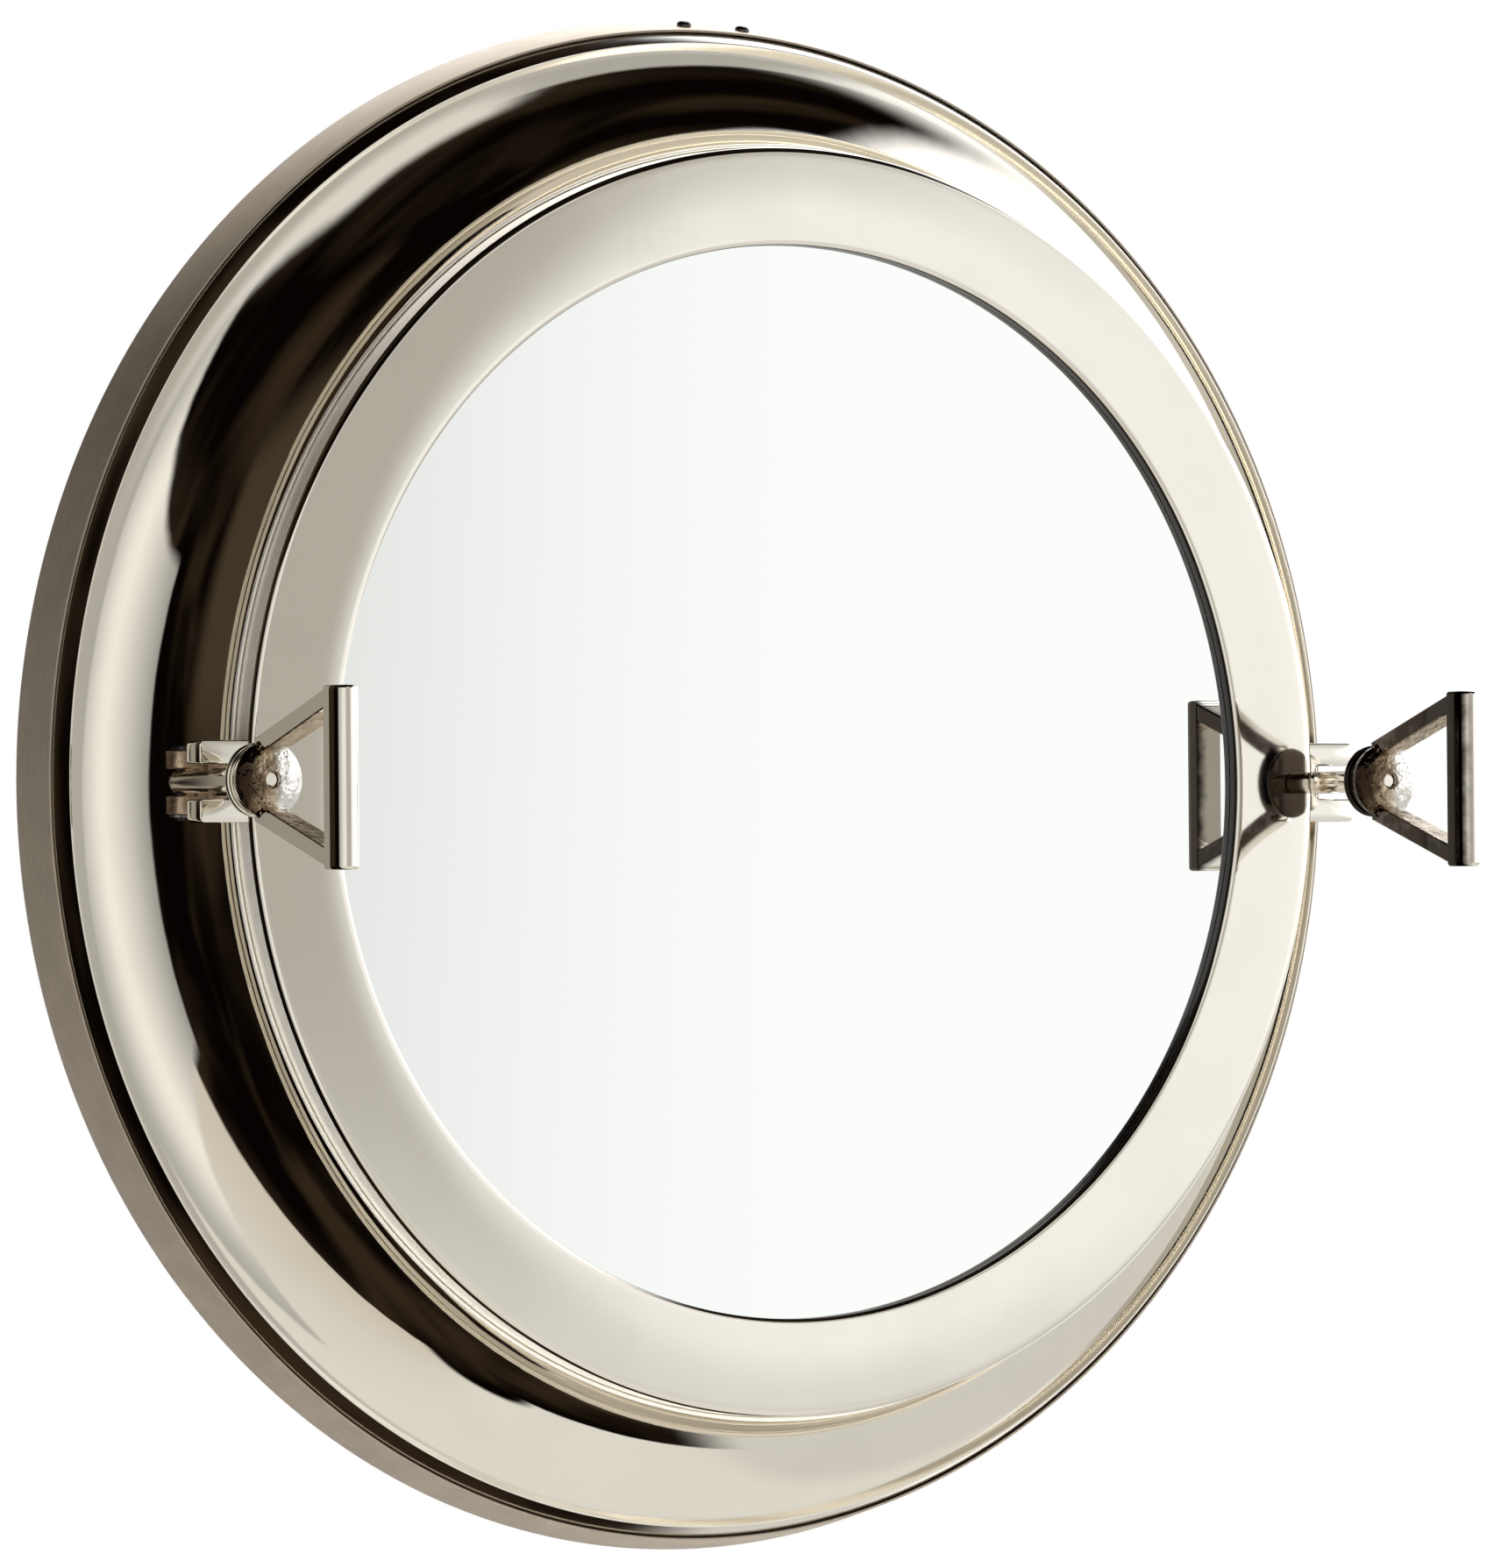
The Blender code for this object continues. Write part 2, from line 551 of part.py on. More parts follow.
def wing_nut(side, sign):
    """Round hub with a stirrup grip: two spreading arms and a bar across their ends."""
    origin = (sign * DOG_X, 0.0, 0.0)
    hub_back = SHOULDER_Y - WASHER_THICK - 2 * GAP
    profile = [
        (0.0, hub_back),
        (HUB_BACK_R, hub_back),
        (HUB_RIM_R - 0.0003, HUB_RIM_Y + 0.0016),
        (HUB_RIM_R, HUB_RIM_Y),
        (HUB_RIM_R - 0.0022, HUB_RIM_Y - 0.0008),
        (HUB_RIM_R * 0.5, HUB_DOME_Y + 0.0009),
        (0.0, HUB_DOME_Y),
    ]
    nut = applied(turned(f"{side}_wing_nut", profile, CAST, location=origin, steps=24))
    back_y = GRIP_FRONT_Y + GRIP_BAR
    bar_y = GRIP_FRONT_Y + GRIP_ROUND_R
    outer = [(-0.1128, 0.0125), (-0.1180, 0.0162), (-0.1240, 0.0194), (-0.1700, 0.0346)]
    outer += [(bar_y - 0.0006, 0.0350)]
    inner = [(-0.1195, 0.0098), (-0.1300, 0.0147), (back_y, 0.0284)]
    outline = outer + [(y, -z) for y, z in reversed(outer)]
    opening = inner + [(y, -z) for y, z in reversed(inner)]
    upright = Matrix(((0, 0, 1, 0), (1, 0, 0, 0), (0, 1, 0, 0), (0, 0, 0, 1)))
    grip = plate(f"{side}_grip", [outline, opening], 2 * GRIP_HALF_X, matrix=upright, location=origin)
    bevel = grip.modifiers.new("Edges", "BEVEL")
    bevel.width = 0.0012
    bevel.segments = 1
    bevel.limit_method = "ANGLE"
    bevel.angle_limit = math.radians(50)
    applied(grip)
    combine(nut, grip, "UNION")
    low = (0, bar_y, -0.0347)
    high = (0, bar_y, 0.0347)
    combine(nut, rod(f"{side}_grip_bar", GRIP_ROUND_R, low, high, location=origin, steps=20), "UNION")
    front = (0, -0.1270, 0)
    back = (0, -0.1050, 0)
    bore = rod(f"{side}_bore_cut", HUB_BORE_R, front, back, location=origin, collection=cutters, steps=24)
    combine(nut, bore, "DIFFERENCE")
    smooth(nut, 35)


band = side_band()
dish()
board = backing_board()
backing_screws(board, band)
hanger(band)
ring = front_ring()
glazing(ring)
for side, sign in (("left", -1.0), ("right", 1.0)):
    fork_lug(side, sign)
    pin_hole = clevis(side, sign)
    pivot_pin(side, sign)
    swing_bolt(side, sign, pin_hole)
    washer(side, sign)
    wing_nut(side, sign)
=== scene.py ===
"""The looks of a round porthole mirror in polished nickel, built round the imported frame.

Metres, +Z up. The wall plane is y = 0, the front faces -Y, and the rings turn about the Y axis.
"""
import math

import bmesh
import bpy
from mathutils import Matrix, Vector


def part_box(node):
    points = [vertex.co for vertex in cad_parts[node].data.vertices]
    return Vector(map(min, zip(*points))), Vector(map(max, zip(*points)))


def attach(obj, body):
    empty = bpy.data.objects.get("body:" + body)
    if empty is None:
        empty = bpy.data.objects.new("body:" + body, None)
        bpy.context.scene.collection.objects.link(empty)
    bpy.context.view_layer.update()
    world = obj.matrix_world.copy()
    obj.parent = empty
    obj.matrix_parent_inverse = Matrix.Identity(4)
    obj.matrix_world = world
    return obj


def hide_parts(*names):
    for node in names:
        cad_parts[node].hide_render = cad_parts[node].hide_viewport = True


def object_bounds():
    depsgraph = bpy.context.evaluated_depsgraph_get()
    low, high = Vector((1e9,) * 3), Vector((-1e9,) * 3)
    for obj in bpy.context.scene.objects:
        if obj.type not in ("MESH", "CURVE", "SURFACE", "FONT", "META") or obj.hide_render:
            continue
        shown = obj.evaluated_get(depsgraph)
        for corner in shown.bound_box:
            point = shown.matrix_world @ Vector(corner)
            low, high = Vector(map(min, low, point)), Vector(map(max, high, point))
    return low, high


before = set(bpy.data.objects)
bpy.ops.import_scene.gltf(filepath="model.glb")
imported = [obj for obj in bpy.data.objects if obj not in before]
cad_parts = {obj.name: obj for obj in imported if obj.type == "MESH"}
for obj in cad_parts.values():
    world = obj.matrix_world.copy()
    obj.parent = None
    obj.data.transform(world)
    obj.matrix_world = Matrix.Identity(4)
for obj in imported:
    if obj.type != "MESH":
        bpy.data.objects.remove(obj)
cad_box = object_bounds()

# --- sizes ----------------------------------------------------------------------------------------
# Names end in _R for a radius about the object's axis or about a dog's own axis, and in _Y for a depth.
RING_STEPS = 288                # facets round the large rings
BOLT_STEPS = 64                 # facets round the bolts and hubs
SCREW_STEPS = 32
PIN_STEPS = 24
SHEET = 0.0016                  # plate thickness of the dish

band_low, band_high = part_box("side_band")
dish_low, dish_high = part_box("dish")
ring_low, ring_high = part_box("front_ring")
glass_low, glass_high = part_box("mirror_glass")
board_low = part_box("backing_board")[0]
washer_low, washer_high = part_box("right_washer")
nut_low, nut_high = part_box("right_wing_nut")
bolt_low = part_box("right_swing_bolt")[0]
lug_low, lug_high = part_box("right_fork_lug")
ear_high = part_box("right_bolt_clevis")[1]

BAND_BACK_R = band_high.x
BAND_FRONT_R = 0.2998
BAND_FRONT_Y = band_low.y
BAND_SHEET = 0.0010
BAND_SLOPE = math.atan2(BAND_BACK_R - BAND_FRONT_R, -BAND_FRONT_Y)
FLANGE_INNER_R = 0.2820
BOARD_FRONT_Y = board_low.y

DISH_EDGE_R = dish_high.x
DISH_EDGE_Y = -0.0178
CREST_R = 0.2944
CREST_Y = -0.0250
CREST_FOOT_R = 0.2914
COVE_OUTER_R = 0.3000
COVE_OUTER_Y = -0.0202
COVE_INNER_R = 0.2500
SEAT_Y = -0.0722
SPIGOT_R = 0.2460
SPIGOT_TIP_Y = dish_low.y
BEAD_R = 0.0009                 # section of the bead that touches the ring's wall

RING_R = ring_high.x
RING_OPENING_R = 0.2108
RING_EDGE_ROUND = 0.0030
RING_LIP = 0.0020
RING_EDGE_Y = -0.0850
RING_FACE_Y = ring_low.y
RING_BACK_Y = ring_high.y
RING_PLATE_Y = -0.0820
RING_WALL_IN_R = 0.2464
GLASS_R = glass_high.x
GLASS_FRONT_Y = glass_low.y
GLASS_BACK_Y = glass_high.y

DOG_X = (nut_low.x + nut_high.x) / 2
PIVOT_Y = -0.0520
BOLT_R = 0.0044
BALL_R = 0.0046                 # rounded end of the bolt, round its pin
BOLT_PIN_HOLE_R = 0.0022
SHOULDER_Y = -0.1087
THREAD_R = 0.0028
THREAD_DEPTH = 0.0005
THREAD_PITCH = 0.0010
THREAD_TIP_Y = bolt_low.y
WASHER_R = washer_high.z
HUB_BACK_Y = nut_high.y
HUB_RIM_Y = -0.1184
HUB_DOME_Y = -0.1222
HUB_RIM_R = nut_high.x - DOG_X
HUB_BORE_R = 0.0031
GRIP_FRONT_Y = nut_low.y
GRIP_HALF_Z = nut_high.z
GRIP_BAR = 0.0100
GRIP_HALF_X = 0.0060
GRIP_CORNER = 0.0014            # rounding at the two ends of the bar
ARM_ROOT_Y = -0.1165            # where an arm starts inside the hub
ARM_ROOT_Z = 0.0124
ARM_ROOT_HALF_X = 0.0048
ARM_HALF_T = 0.0034
ARM_INSET = 0.0002              # the arms end this much inside the bar's sides
NUB_AT = (0.0040, -0.1190, 0.0128)
NUB_R = 0.0022
LUG_ROOT_R = 0.2440
LUG_SLOT_FOOT = 0.2520
LUG_SLOT_HALF = 0.0067
EAR_ROUND_R = 0.0052
EAR_ROOT = 0.0125               # from the pin back into the wall of the cove
EAR_SLOT_FOOT = 0.0053
EAR_GAP = 0.0106
EAR_PIN_HOLE_R = 0.0023
HANGER_SEAT_Y = -0.0100
SCREW_HEAD_R = 0.0029
SCREW_SHANK_R = 0.0015

NICKEL_COLOR = (0.905, 0.865, 0.785)
# painted dark reflection on the left-hand side of the right nut and washer
PAINTED_SHADE_COLOR = (0.05, 0.038, 0.03)
SATIN_COLOR = (0.37, 0.315, 0.25)


# --- node helpers ---------------------------------------------------------------------------------
class Nodes:
    """Adds nodes to a tree, with numbers or other nodes' sockets as their inputs."""

    def __init__(self, tree):
        self.tree = tree

    def add(self, kind, inputs=None, **settings):
        node = self.tree.nodes.new("ShaderNode" + kind)
        for key, value in settings.items():
            setattr(node, key, value)
        for key, value in (inputs or {}).items():
            if isinstance(value, bpy.types.NodeSocket):
                self.tree.links.new(value, node.inputs[key])
            else:
                node.inputs[key].default_value = value
        return node

    def math(self, operation, a, b=0.0, c=0.0):
        return self.add("Math", {0: a, 1: b, 2: c}, operation=operation).outputs[0]

    def ramp(self, value, low, high, to_low=0.0, to_high=1.0, kind="SMOOTHSTEP"):
        spans = {"Value": value, "From Min": low, "From Max": high, "To Min": to_low, "To Max": to_high}
        return self.add("MapRange", spans, interpolation_type=kind).outputs["Result"]

    def noise(self, vector, scale, detail=2.0, rough=0.5, distortion=0.0):
        inputs = {"Vector": vector, "Scale": scale, "Detail": detail}
        inputs.update({"Roughness": rough, "Distortion": distortion})
        return self.add("TexNoise", inputs).outputs["Fac"]

    def mix(self, factor, a, b):
        node = self.add("Mix", data_type="RGBA")
        for socket, value in ((node.inputs[0], factor), (node.inputs[6], a), (node.inputs[7], b)):
            if isinstance(value, bpy.types.NodeSocket):
                self.tree.links.new(value, socket)
            elif isinstance(value, tuple):
                socket.default_value = (*value, 1.0)
            else:
                socket.default_value = value
        return node.outputs[2]

    def bump(self, height, strength, distance, under=None):
        inputs = {"Height": height, "Strength": strength, "Distance": distance}
        if under:
            inputs["Normal"] = under
        return self.add("Bump", inputs).outputs["Normal"]


def new_material(name, metallic):
    mat = bpy.data.materials.new(name)
    mat.use_nodes = True
    nodes = Nodes(mat.node_tree)
    shader = mat.node_tree.nodes["Principled BSDF"]
    shader.inputs["Metallic"].default_value = metallic
    place = nodes.add("TexCoord").outputs["Object"]
    return mat, nodes, shader, place


def feed(nodes, shader, **sockets):
    names = {"color": "Base Color", "roughness": "Roughness", "normal": "Normal"}
    for key, value in sockets.items():
        nodes.tree.links.new(value, shader.inputs[names[key]])


def polar(nodes, place, around):
    """Coordinates that stretch a pattern round the Y axis: radius, depth, and a share of the angle."""
    parts = nodes.add("SeparateXYZ", {0: place}).outputs
    squared = nodes.math("MULTIPLY_ADD", parts["X"], parts["X"], nodes.math("POWER", parts["Z"], 2.0))
    radius = nodes.math("SQRT", squared)
    angle = nodes.math("ARCTAN2", parts["Z"], parts["X"])
    turn = nodes.math("MULTIPLY", angle, around)
    return nodes.add("CombineXYZ", {"X": radius, "Y": parts["Y"], "Z": turn}).outputs[0]


# --- materials ------------------------------------------------------------------------------------
def paint_dark_side(nodes, place, axis_x, color, dark, clear_from, clear_to):
    """Darkens a colour on the left-hand side of the dog that stands at axis_x, with a ragged edge: a painted
    reflection of dark surroundings.
    """
    across = nodes.math("SUBTRACT", nodes.add("SeparateXYZ", {0: place}).outputs["X"], axis_x)
    patchy = nodes.math("SUBTRACT", nodes.noise(place, 150.0, 3.0, 0.6), 0.5)
    across = nodes.math("MULTIPLY_ADD", patchy, 0.004, across)
    return nodes.mix(nodes.ramp(across, clear_from, clear_to), dark, color)


def polished_nickel(name, wave, roughness, metallic=1.0, painted_shade_at=None):
    """Hand-polished plate: a soft waver, fine buffing lines round the axis, a few hazy patches; given a
    dog's axis, also a painted dark reflection on that dog's left-hand side.
    """
    mat, nodes, shader, place = new_material(name, metallic)
    waver = nodes.noise(place, 9.0, 1.0)
    dents = nodes.noise(place, 42.0, 2.0)
    rings = nodes.noise(polar(nodes, place, 0.010), 900.0, 2.0)
    normal = nodes.bump(waver, 0.55 * wave, 0.0011)
    normal = nodes.bump(dents, 0.16 * wave, 0.0003, normal)
    normal = nodes.bump(rings, 0.05, 0.00004, normal)
    haze = nodes.noise(place, 26.0, 4.0, 0.6)
    color = nodes.mix(nodes.ramp(haze, 0.3, 0.8), NICKEL_COLOR, tuple(c * 0.965 for c in NICKEL_COLOR))
    # Painted reflection: the left-hand side of the dog is coloured dark.
    if painted_shade_at is not None:
        color = paint_dark_side(nodes, place, painted_shade_at, color, PAINTED_SHADE_COLOR, -0.0055, 0.0)
    feed(nodes, shader, normal=normal, roughness=nodes.ramp(haze, 0.35, 0.75, *roughness), color=color)
    return mat


def satin_nickel():
    """Side band, brushed round the rim and then tumbled, so that the lines are short and soft."""
    mat, nodes, shader, place = new_material("satin_nickel", 0.65)
    brushed = nodes.noise(polar(nodes, place, 0.045), 700.0, 3.0, 0.6)
    mottle = nodes.noise(place, 75.0, 3.0, 0.6)
    normal = nodes.bump(brushed, 0.30, 0.00012)
    normal = nodes.bump(mottle, 0.20, 0.00020, normal)
    shade = nodes.math("MULTIPLY_ADD", brushed, 0.5, nodes.math("MULTIPLY", mottle, 0.5))
    feed(
        nodes,
        shader,
        normal=normal,
        roughness=nodes.ramp(mottle, 0.3, 0.7, 0.40, 0.50),
        color=nodes.mix(nodes.ramp(shade, 0.35, 0.68), tuple(c * 0.88 for c in SATIN_COLOR), SATIN_COLOR),
    )
    return mat


def cast_nickel(name, color, roughness, relief, painted_shade_at=None):
    """Rough casting under thin plate: lumps, pits and brown tarnishing in the hollows; given a dog's axis,
    also a painted reflection, brown and then near black, on that dog's left-hand side.
    """
    mat, nodes, shader, place = new_material(name, 1.0)
    lumps = nodes.noise(place, 190.0, 3.0, 0.55)
    pores = nodes.add("TexVoronoi", {"Vector": place, "Scale": 560.0}, feature="SMOOTH_F1")
    pores = pores.outputs["Distance"]
    normal = nodes.bump(lumps, 0.8, 0.0014 * relief)
    normal = nodes.bump(pores, 0.35, 0.0005 * relief, normal)
    tarnish_and_painted_mottle = nodes.ramp(nodes.noise(place, 120.0, 4.0, 0.65), 0.38, 0.66)
    tint = nodes.mix(tarnish_and_painted_mottle, tuple(c * 0.75 for c in color), color)
    # Painted reflection: the dome's left-hand side is coloured brown, mottled by the same noise, and near
    # black further left.
    if painted_shade_at is not None:
        brown = nodes.mix(tarnish_and_painted_mottle, (0.17, 0.12, 0.075), (0.62, 0.50, 0.35))
        tint = paint_dark_side(nodes, place, painted_shade_at, tint, brown, -0.0010, 0.0050)
        tint = paint_dark_side(nodes, place, painted_shade_at, tint, (0.035, 0.022, 0.014), -0.0115, -0.0040)
    feed(nodes, shader, normal=normal, roughness=nodes.ramp(lumps, 0.3, 0.7, *roughness), color=tint)
    return mat


def ring_lining():
    """Black lacquer inside the opening of the front ring, rubbed in places."""
    mat, nodes, shader, place = new_material("ring_lining", 0.0)
    rubbed = nodes.noise(place, 60.0, 4.0, 0.6)
    feed(
        nodes,
        shader,
        normal=nodes.bump(rubbed, 0.3, 0.0002),
        roughness=nodes.ramp(rubbed, 0.3, 0.7, 0.16, 0.26),
        color=nodes.mix(rubbed, (0.004, 0.003, 0.003), (0.014, 0.011, 0.009)),
    )
    return mat


def mirror_silver():
    """Silvered glass; a trace of green, and a very slight waver of the sheet."""
    mat, nodes, shader, place = new_material("mirror_silver", 1.0)
    waver = nodes.noise(place, 3.0, 0.0)
    tone = nodes.noise(place, 2.0, 1.0)
    shader.inputs["Roughness"].default_value = 0.0
    feed(
        nodes,
        shader,
        normal=nodes.bump(waver, 0.05, 0.0008),
        color=nodes.mix(tone, (0.955, 0.975, 0.965), (0.975, 0.985, 0.982)),
    )
    return mat


def plain_metal(name, color, roughness, grain):
    """Machined or plated steel with drawn marks and faint staining."""
    mat, nodes, shader, place = new_material(name, 1.0)
    marks = nodes.noise(place, 480.0, 3.0, 0.6)
    stain = nodes.ramp(nodes.noise(place, 90.0, 3.0), 0.35, 0.7)
    feed(
        nodes,
        shader,
        normal=nodes.bump(marks, 0.3 * grain, 0.0002),
        roughness=nodes.ramp(marks, 0.3, 0.7, roughness * 0.8, roughness * 1.25),
        color=nodes.mix(stain, color, tuple(c * 0.72 for c in color)),
    )
    return mat


def hardboard():
    """Pressed brown board with fibres and a faint mesh print."""
    mat, nodes, shader, place = new_material("hardboard", 0.0)
    fibres = nodes.noise(place, 520.0, 5.0, 0.7, 0.6)
    cloud = nodes.noise(place, 14.0, 3.0)
    mesh = nodes.add("TexVoronoi", {"Vector": place, "Scale": 700.0}, distance="CHEBYCHEV")
    normal = nodes.bump(fibres, 0.5, 0.0003)
    shade = nodes.math("MULTIPLY_ADD", fibres, 0.6, nodes.math("MULTIPLY", cloud, 0.4))
    feed(
        nodes,
        shader,
        normal=nodes.bump(mesh.outputs["Distance"], 0.25, 0.0003, normal),
        roughness=nodes.ramp(fibres, 0.3, 0.7, 0.62, 0.82),
        color=nodes.mix(nodes.ramp(shade, 0.32, 0.68), (0.11, 0.062, 0.035), (0.26, 0.165, 0.098)),
    )
    return mat


def foam():
    """Closed-cell tape between the mirror and the ring."""
    mat, nodes, shader, place = new_material("foam_tape", 0.0)
    cells = nodes.add("TexVoronoi", {"Vector": place, "Scale": 900.0}).outputs["Distance"]
    feed(
        nodes,
        shader,
        normal=nodes.bump(cells, 0.6, 0.0004),
        roughness=nodes.ramp(cells, 0.0, 0.8, 0.75, 0.95),
        color=nodes.mix(cells, (0.018, 0.018, 0.018), (0.055, 0.055, 0.055)),
    )
    return mat


DISH_NICKEL = polished_nickel("polished_nickel_dish", 1.0, (0.02, 0.06))
LIP_NICKEL = polished_nickel("polished_nickel_lip", 0.4, (0.10, 0.16))
RING_NICKEL = polished_nickel("polished_nickel_ring", 0.35, (0.05, 0.10))
WALL_NICKEL = polished_nickel("buffed_nickel_wall", 0.4, (0.28, 0.34), 0.72)
LINING = ring_lining()
DOG_NICKEL = polished_nickel("polished_nickel_dogs", 0.5, (0.04, 0.10))
NUT_NICKEL = {
    "left": polished_nickel("polished_nickel_left_nut", 0.5, (0.05, 0.10)),
    # Painted reflection: the right nut is coloured dark on its left-hand side.
    "right": polished_nickel("polished_nickel_right_nut", 0.5, (0.05, 0.10), 1.0, DOG_X),
}
SATIN = satin_nickel()
WASHER_NICKEL = {
    "left": DOG_NICKEL,
    # Painted reflection: the right washer is coloured dark on its left-hand part.
    "right": polished_nickel("polished_nickel_right_washer", 0.5, (0.05, 0.10), 1.0, DOG_X + 0.012),
}
DOME_CAST = {
    # Painted reflection: each dome is coloured brown, then near black, on its left-hand side.
    "left": cast_nickel("cast_nickel_left_dome", (0.95, 0.92, 0.87), (0.10, 0.20), 1.0, -DOG_X),
    "right": cast_nickel("cast_nickel_right_dome", (0.95, 0.92, 0.87), (0.10, 0.20), 1.0, DOG_X),
}
BOLT_NICKEL = polished_nickel("polished_nickel_bolts", 0.5, (0.14, 0.20))
# Painted reflection: the ears' warm brown base colour stands in for the brown surroundings they reflect.
EAR_CAST = cast_nickel("cast_nickel_ears", (0.95, 0.72, 0.52), (0.42, 0.52), 0.8)
ROUGH_CAST = cast_nickel("rough_cast_nickel", (0.70, 0.57, 0.42), (0.34, 0.48), 1.2)
MIRROR = mirror_silver()
STEEL = plain_metal("dark_steel", (0.11, 0.10, 0.10), 0.28, 1.0)
ZINC = plain_metal("zinc_plate", (0.60, 0.61, 0.62), 0.30, 1.0)
BOARD = hardboard()
FOAM = foam()


# --- mesh helpers ---------------------------------------------------------------------------------
def rounded(corners, parts):
    """A closed outline from (a, b) or (a, b, radius) corners; a radius turns its corner into an arc."""
    points = []
    for i, corner in enumerate(corners):
        here = Vector(corner[:2])
        radius = corner[2] if len(corner) > 2 else 0.0
        if not radius:
            points.append(here)
            continue
        back = (Vector(corners[i - 1][:2]) - here).normalized()
        ahead = (Vector(corners[(i + 1) % len(corners)][:2]) - here).normalized()
        half = back.angle(ahead) / 2
        centre = here + (back + ahead).normalized() * (radius / math.sin(half))
        first = here + back * (radius / math.tan(half)) - centre
        last = here + ahead * (radius / math.tan(half)) - centre
        sweep = first.angle_signed(last)
        for k in range(parts + 1):
            points.append(centre + Matrix.Rotation(-sweep * k / parts, 2) @ first)
    return [tuple(p) for p in points]


def add_object(name, mesh, body=None, mat=None, replaced=(), sharp=30):
    """Links a mesh, shades it smooth, and says what it rides on and stands for."""
    obj = bpy.data.objects.new(name, mesh)
    bpy.context.scene.collection.objects.link(obj)
    mesh.shade_smooth()
    mesh.set_sharp_from_angle(angle=math.radians(sharp))
    if mat:
        mesh.materials.append(mat)
    if body:
        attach(obj, body)
    if replaced:
        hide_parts(*replaced)
    return obj


def turned_mesh(name, profile, steps, place=Matrix()):
    """Spins a profile of (radius, y) points about the Y axis. One that reaches radius 0 closes there."""
    bm = bmesh.new()
    verts = [bm.verts.new((r, y, 0.0)) for r, y in profile]
    edges = [bm.edges.new(pair) for pair in zip(verts, verts[1:])]
    if min(r for r, _ in profile) > 0:
        edges.append(bm.edges.new((verts[-1], verts[0])))
    bmesh.ops.spin(
        bm, geom=verts + edges, axis=(0, 1, 0), cent=(0, 0, 0), angle=math.tau, steps=steps, use_merge=True
    )
    bmesh.ops.remove_doubles(bm, verts=bm.verts, dist=0.0000005)
    bmesh.ops.recalc_face_normals(bm, faces=bm.faces)
    bmesh.ops.transform(bm, matrix=place, verts=bm.verts)
    mesh = bpy.data.meshes.new(name)
    bm.to_mesh(mesh)
    bm.free()
    return mesh


def extruded_mesh(name, outlines, thickness, place=Matrix()):
    """Fills closed outlines (the first is the outside) and gives them a thickness about z = 0."""
    curve = bpy.data.curves.new(name, "CURVE")
    curve.dimensions = "2D"
    curve.fill_mode = "BOTH"
    curve.extrude = thickness / 2
    for outline in outlines:
        spline = curve.splines.new("POLY")
        spline.points.add(len(outline) - 1)
        for point, (x, y) in zip(spline.points, outline):
            point.co = (x, y, 0.0, 1.0)
        spline.use_cyclic_u = True
    guide = bpy.data.objects.new(name, curve)
    bpy.context.scene.collection.objects.link(guide)
    mesh = bpy.data.meshes.new_from_object(guide.evaluated_get(bpy.context.evaluated_depsgraph_get()))
    bpy.data.objects.remove(guide)
    bm = bmesh.new()
    bm.from_mesh(mesh)
    bmesh.ops.remove_doubles(bm, verts=bm.verts, dist=0.000005)
    bmesh.ops.dissolve_limit(bm, angle_limit=math.radians(1), verts=bm.verts, edges=bm.edges)
    bmesh.ops.transform(bm, matrix=place, verts=bm.verts)
    bmesh.ops.recalc_face_normals(bm, faces=bm.faces)
    bm.to_mesh(mesh)
    bm.free()
    mesh.materials.clear()
    return mesh


def bake(obj):
    """Applies an object's modifiers."""
    baked = bpy.data.meshes.new_from_object(obj.evaluated_get(bpy.context.evaluated_depsgraph_get()))
    obj.modifiers.clear()
    obj.data = baked
    return obj


def bevelled(obj, width):
    mod = obj.modifiers.new("Edges", "BEVEL")
    mod.width = width
    mod.segments = 3
    mod.limit_method = "ANGLE"
    mod.angle_limit = math.radians(40)
    mod.use_clamp_overlap = True
    return bake(obj)


def cut(obj, *cutters):
    """Takes the cutter meshes out of an object."""
    for mesh in cutters:
        tool = bpy.data.objects.new("cutter", mesh)
        bpy.context.scene.collection.objects.link(tool)
        mod = obj.modifiers.new("Cut", "BOOLEAN")
        mod.operation = "DIFFERENCE"
        mod.solver = "EXACT"
        mod.object = tool
        bake(obj)
        bpy.data.objects.remove(tool)
    return obj


def finish_shading(obj, mat):
    obj.data.shade_smooth()
    obj.data.set_sharp_from_angle(angle=math.radians(30))
    obj.data.materials.clear()
    obj.data.materials.append(mat)


def rod(radius, half_length):
    """Profile of a plain rod, for a hole."""
    return [(0.0, -half_length), (radius, -half_length), (radius, half_length), (0.0, half_length)]


def cross_recess(place, size):
    """The cross of a Phillips screw, cut 40 % of its width deep along +Y of place."""
    meshes = []
    for turn in (0.0, math.pi / 2):
        half = 0.16 * size
        outline = [(-size, -half), (size, -half), (size, half), (-size, half)]
        flat = Matrix.Rotation(math.pi / 2, 4, "X") @ Matrix.Rotation(turn, 4, "Z")
        meshes.append(extruded_mesh("recess", [outline], size * 0.8, place @ flat))
    return meshes


# --- the base: band, dish, board ------------------------------------------------------------------
def cove(parts, offset=0.0):
    """Points of the dish's quarter ellipse from the lip's foot to the seat; offset moves it backwards."""
    half_r = COVE_OUTER_R - COVE_INNER_R + offset
    half_y = COVE_OUTER_Y - SEAT_Y + offset
    first = math.acos((COVE_OUTER_R - CREST_FOOT_R) / half_r)
    points = []
    for i in range(parts + 1):
        t = first * (1 - i / parts)
        points.append((COVE_OUTER_R - half_r * math.cos(t), SEAT_Y + half_y * math.sin(t)))
    return points


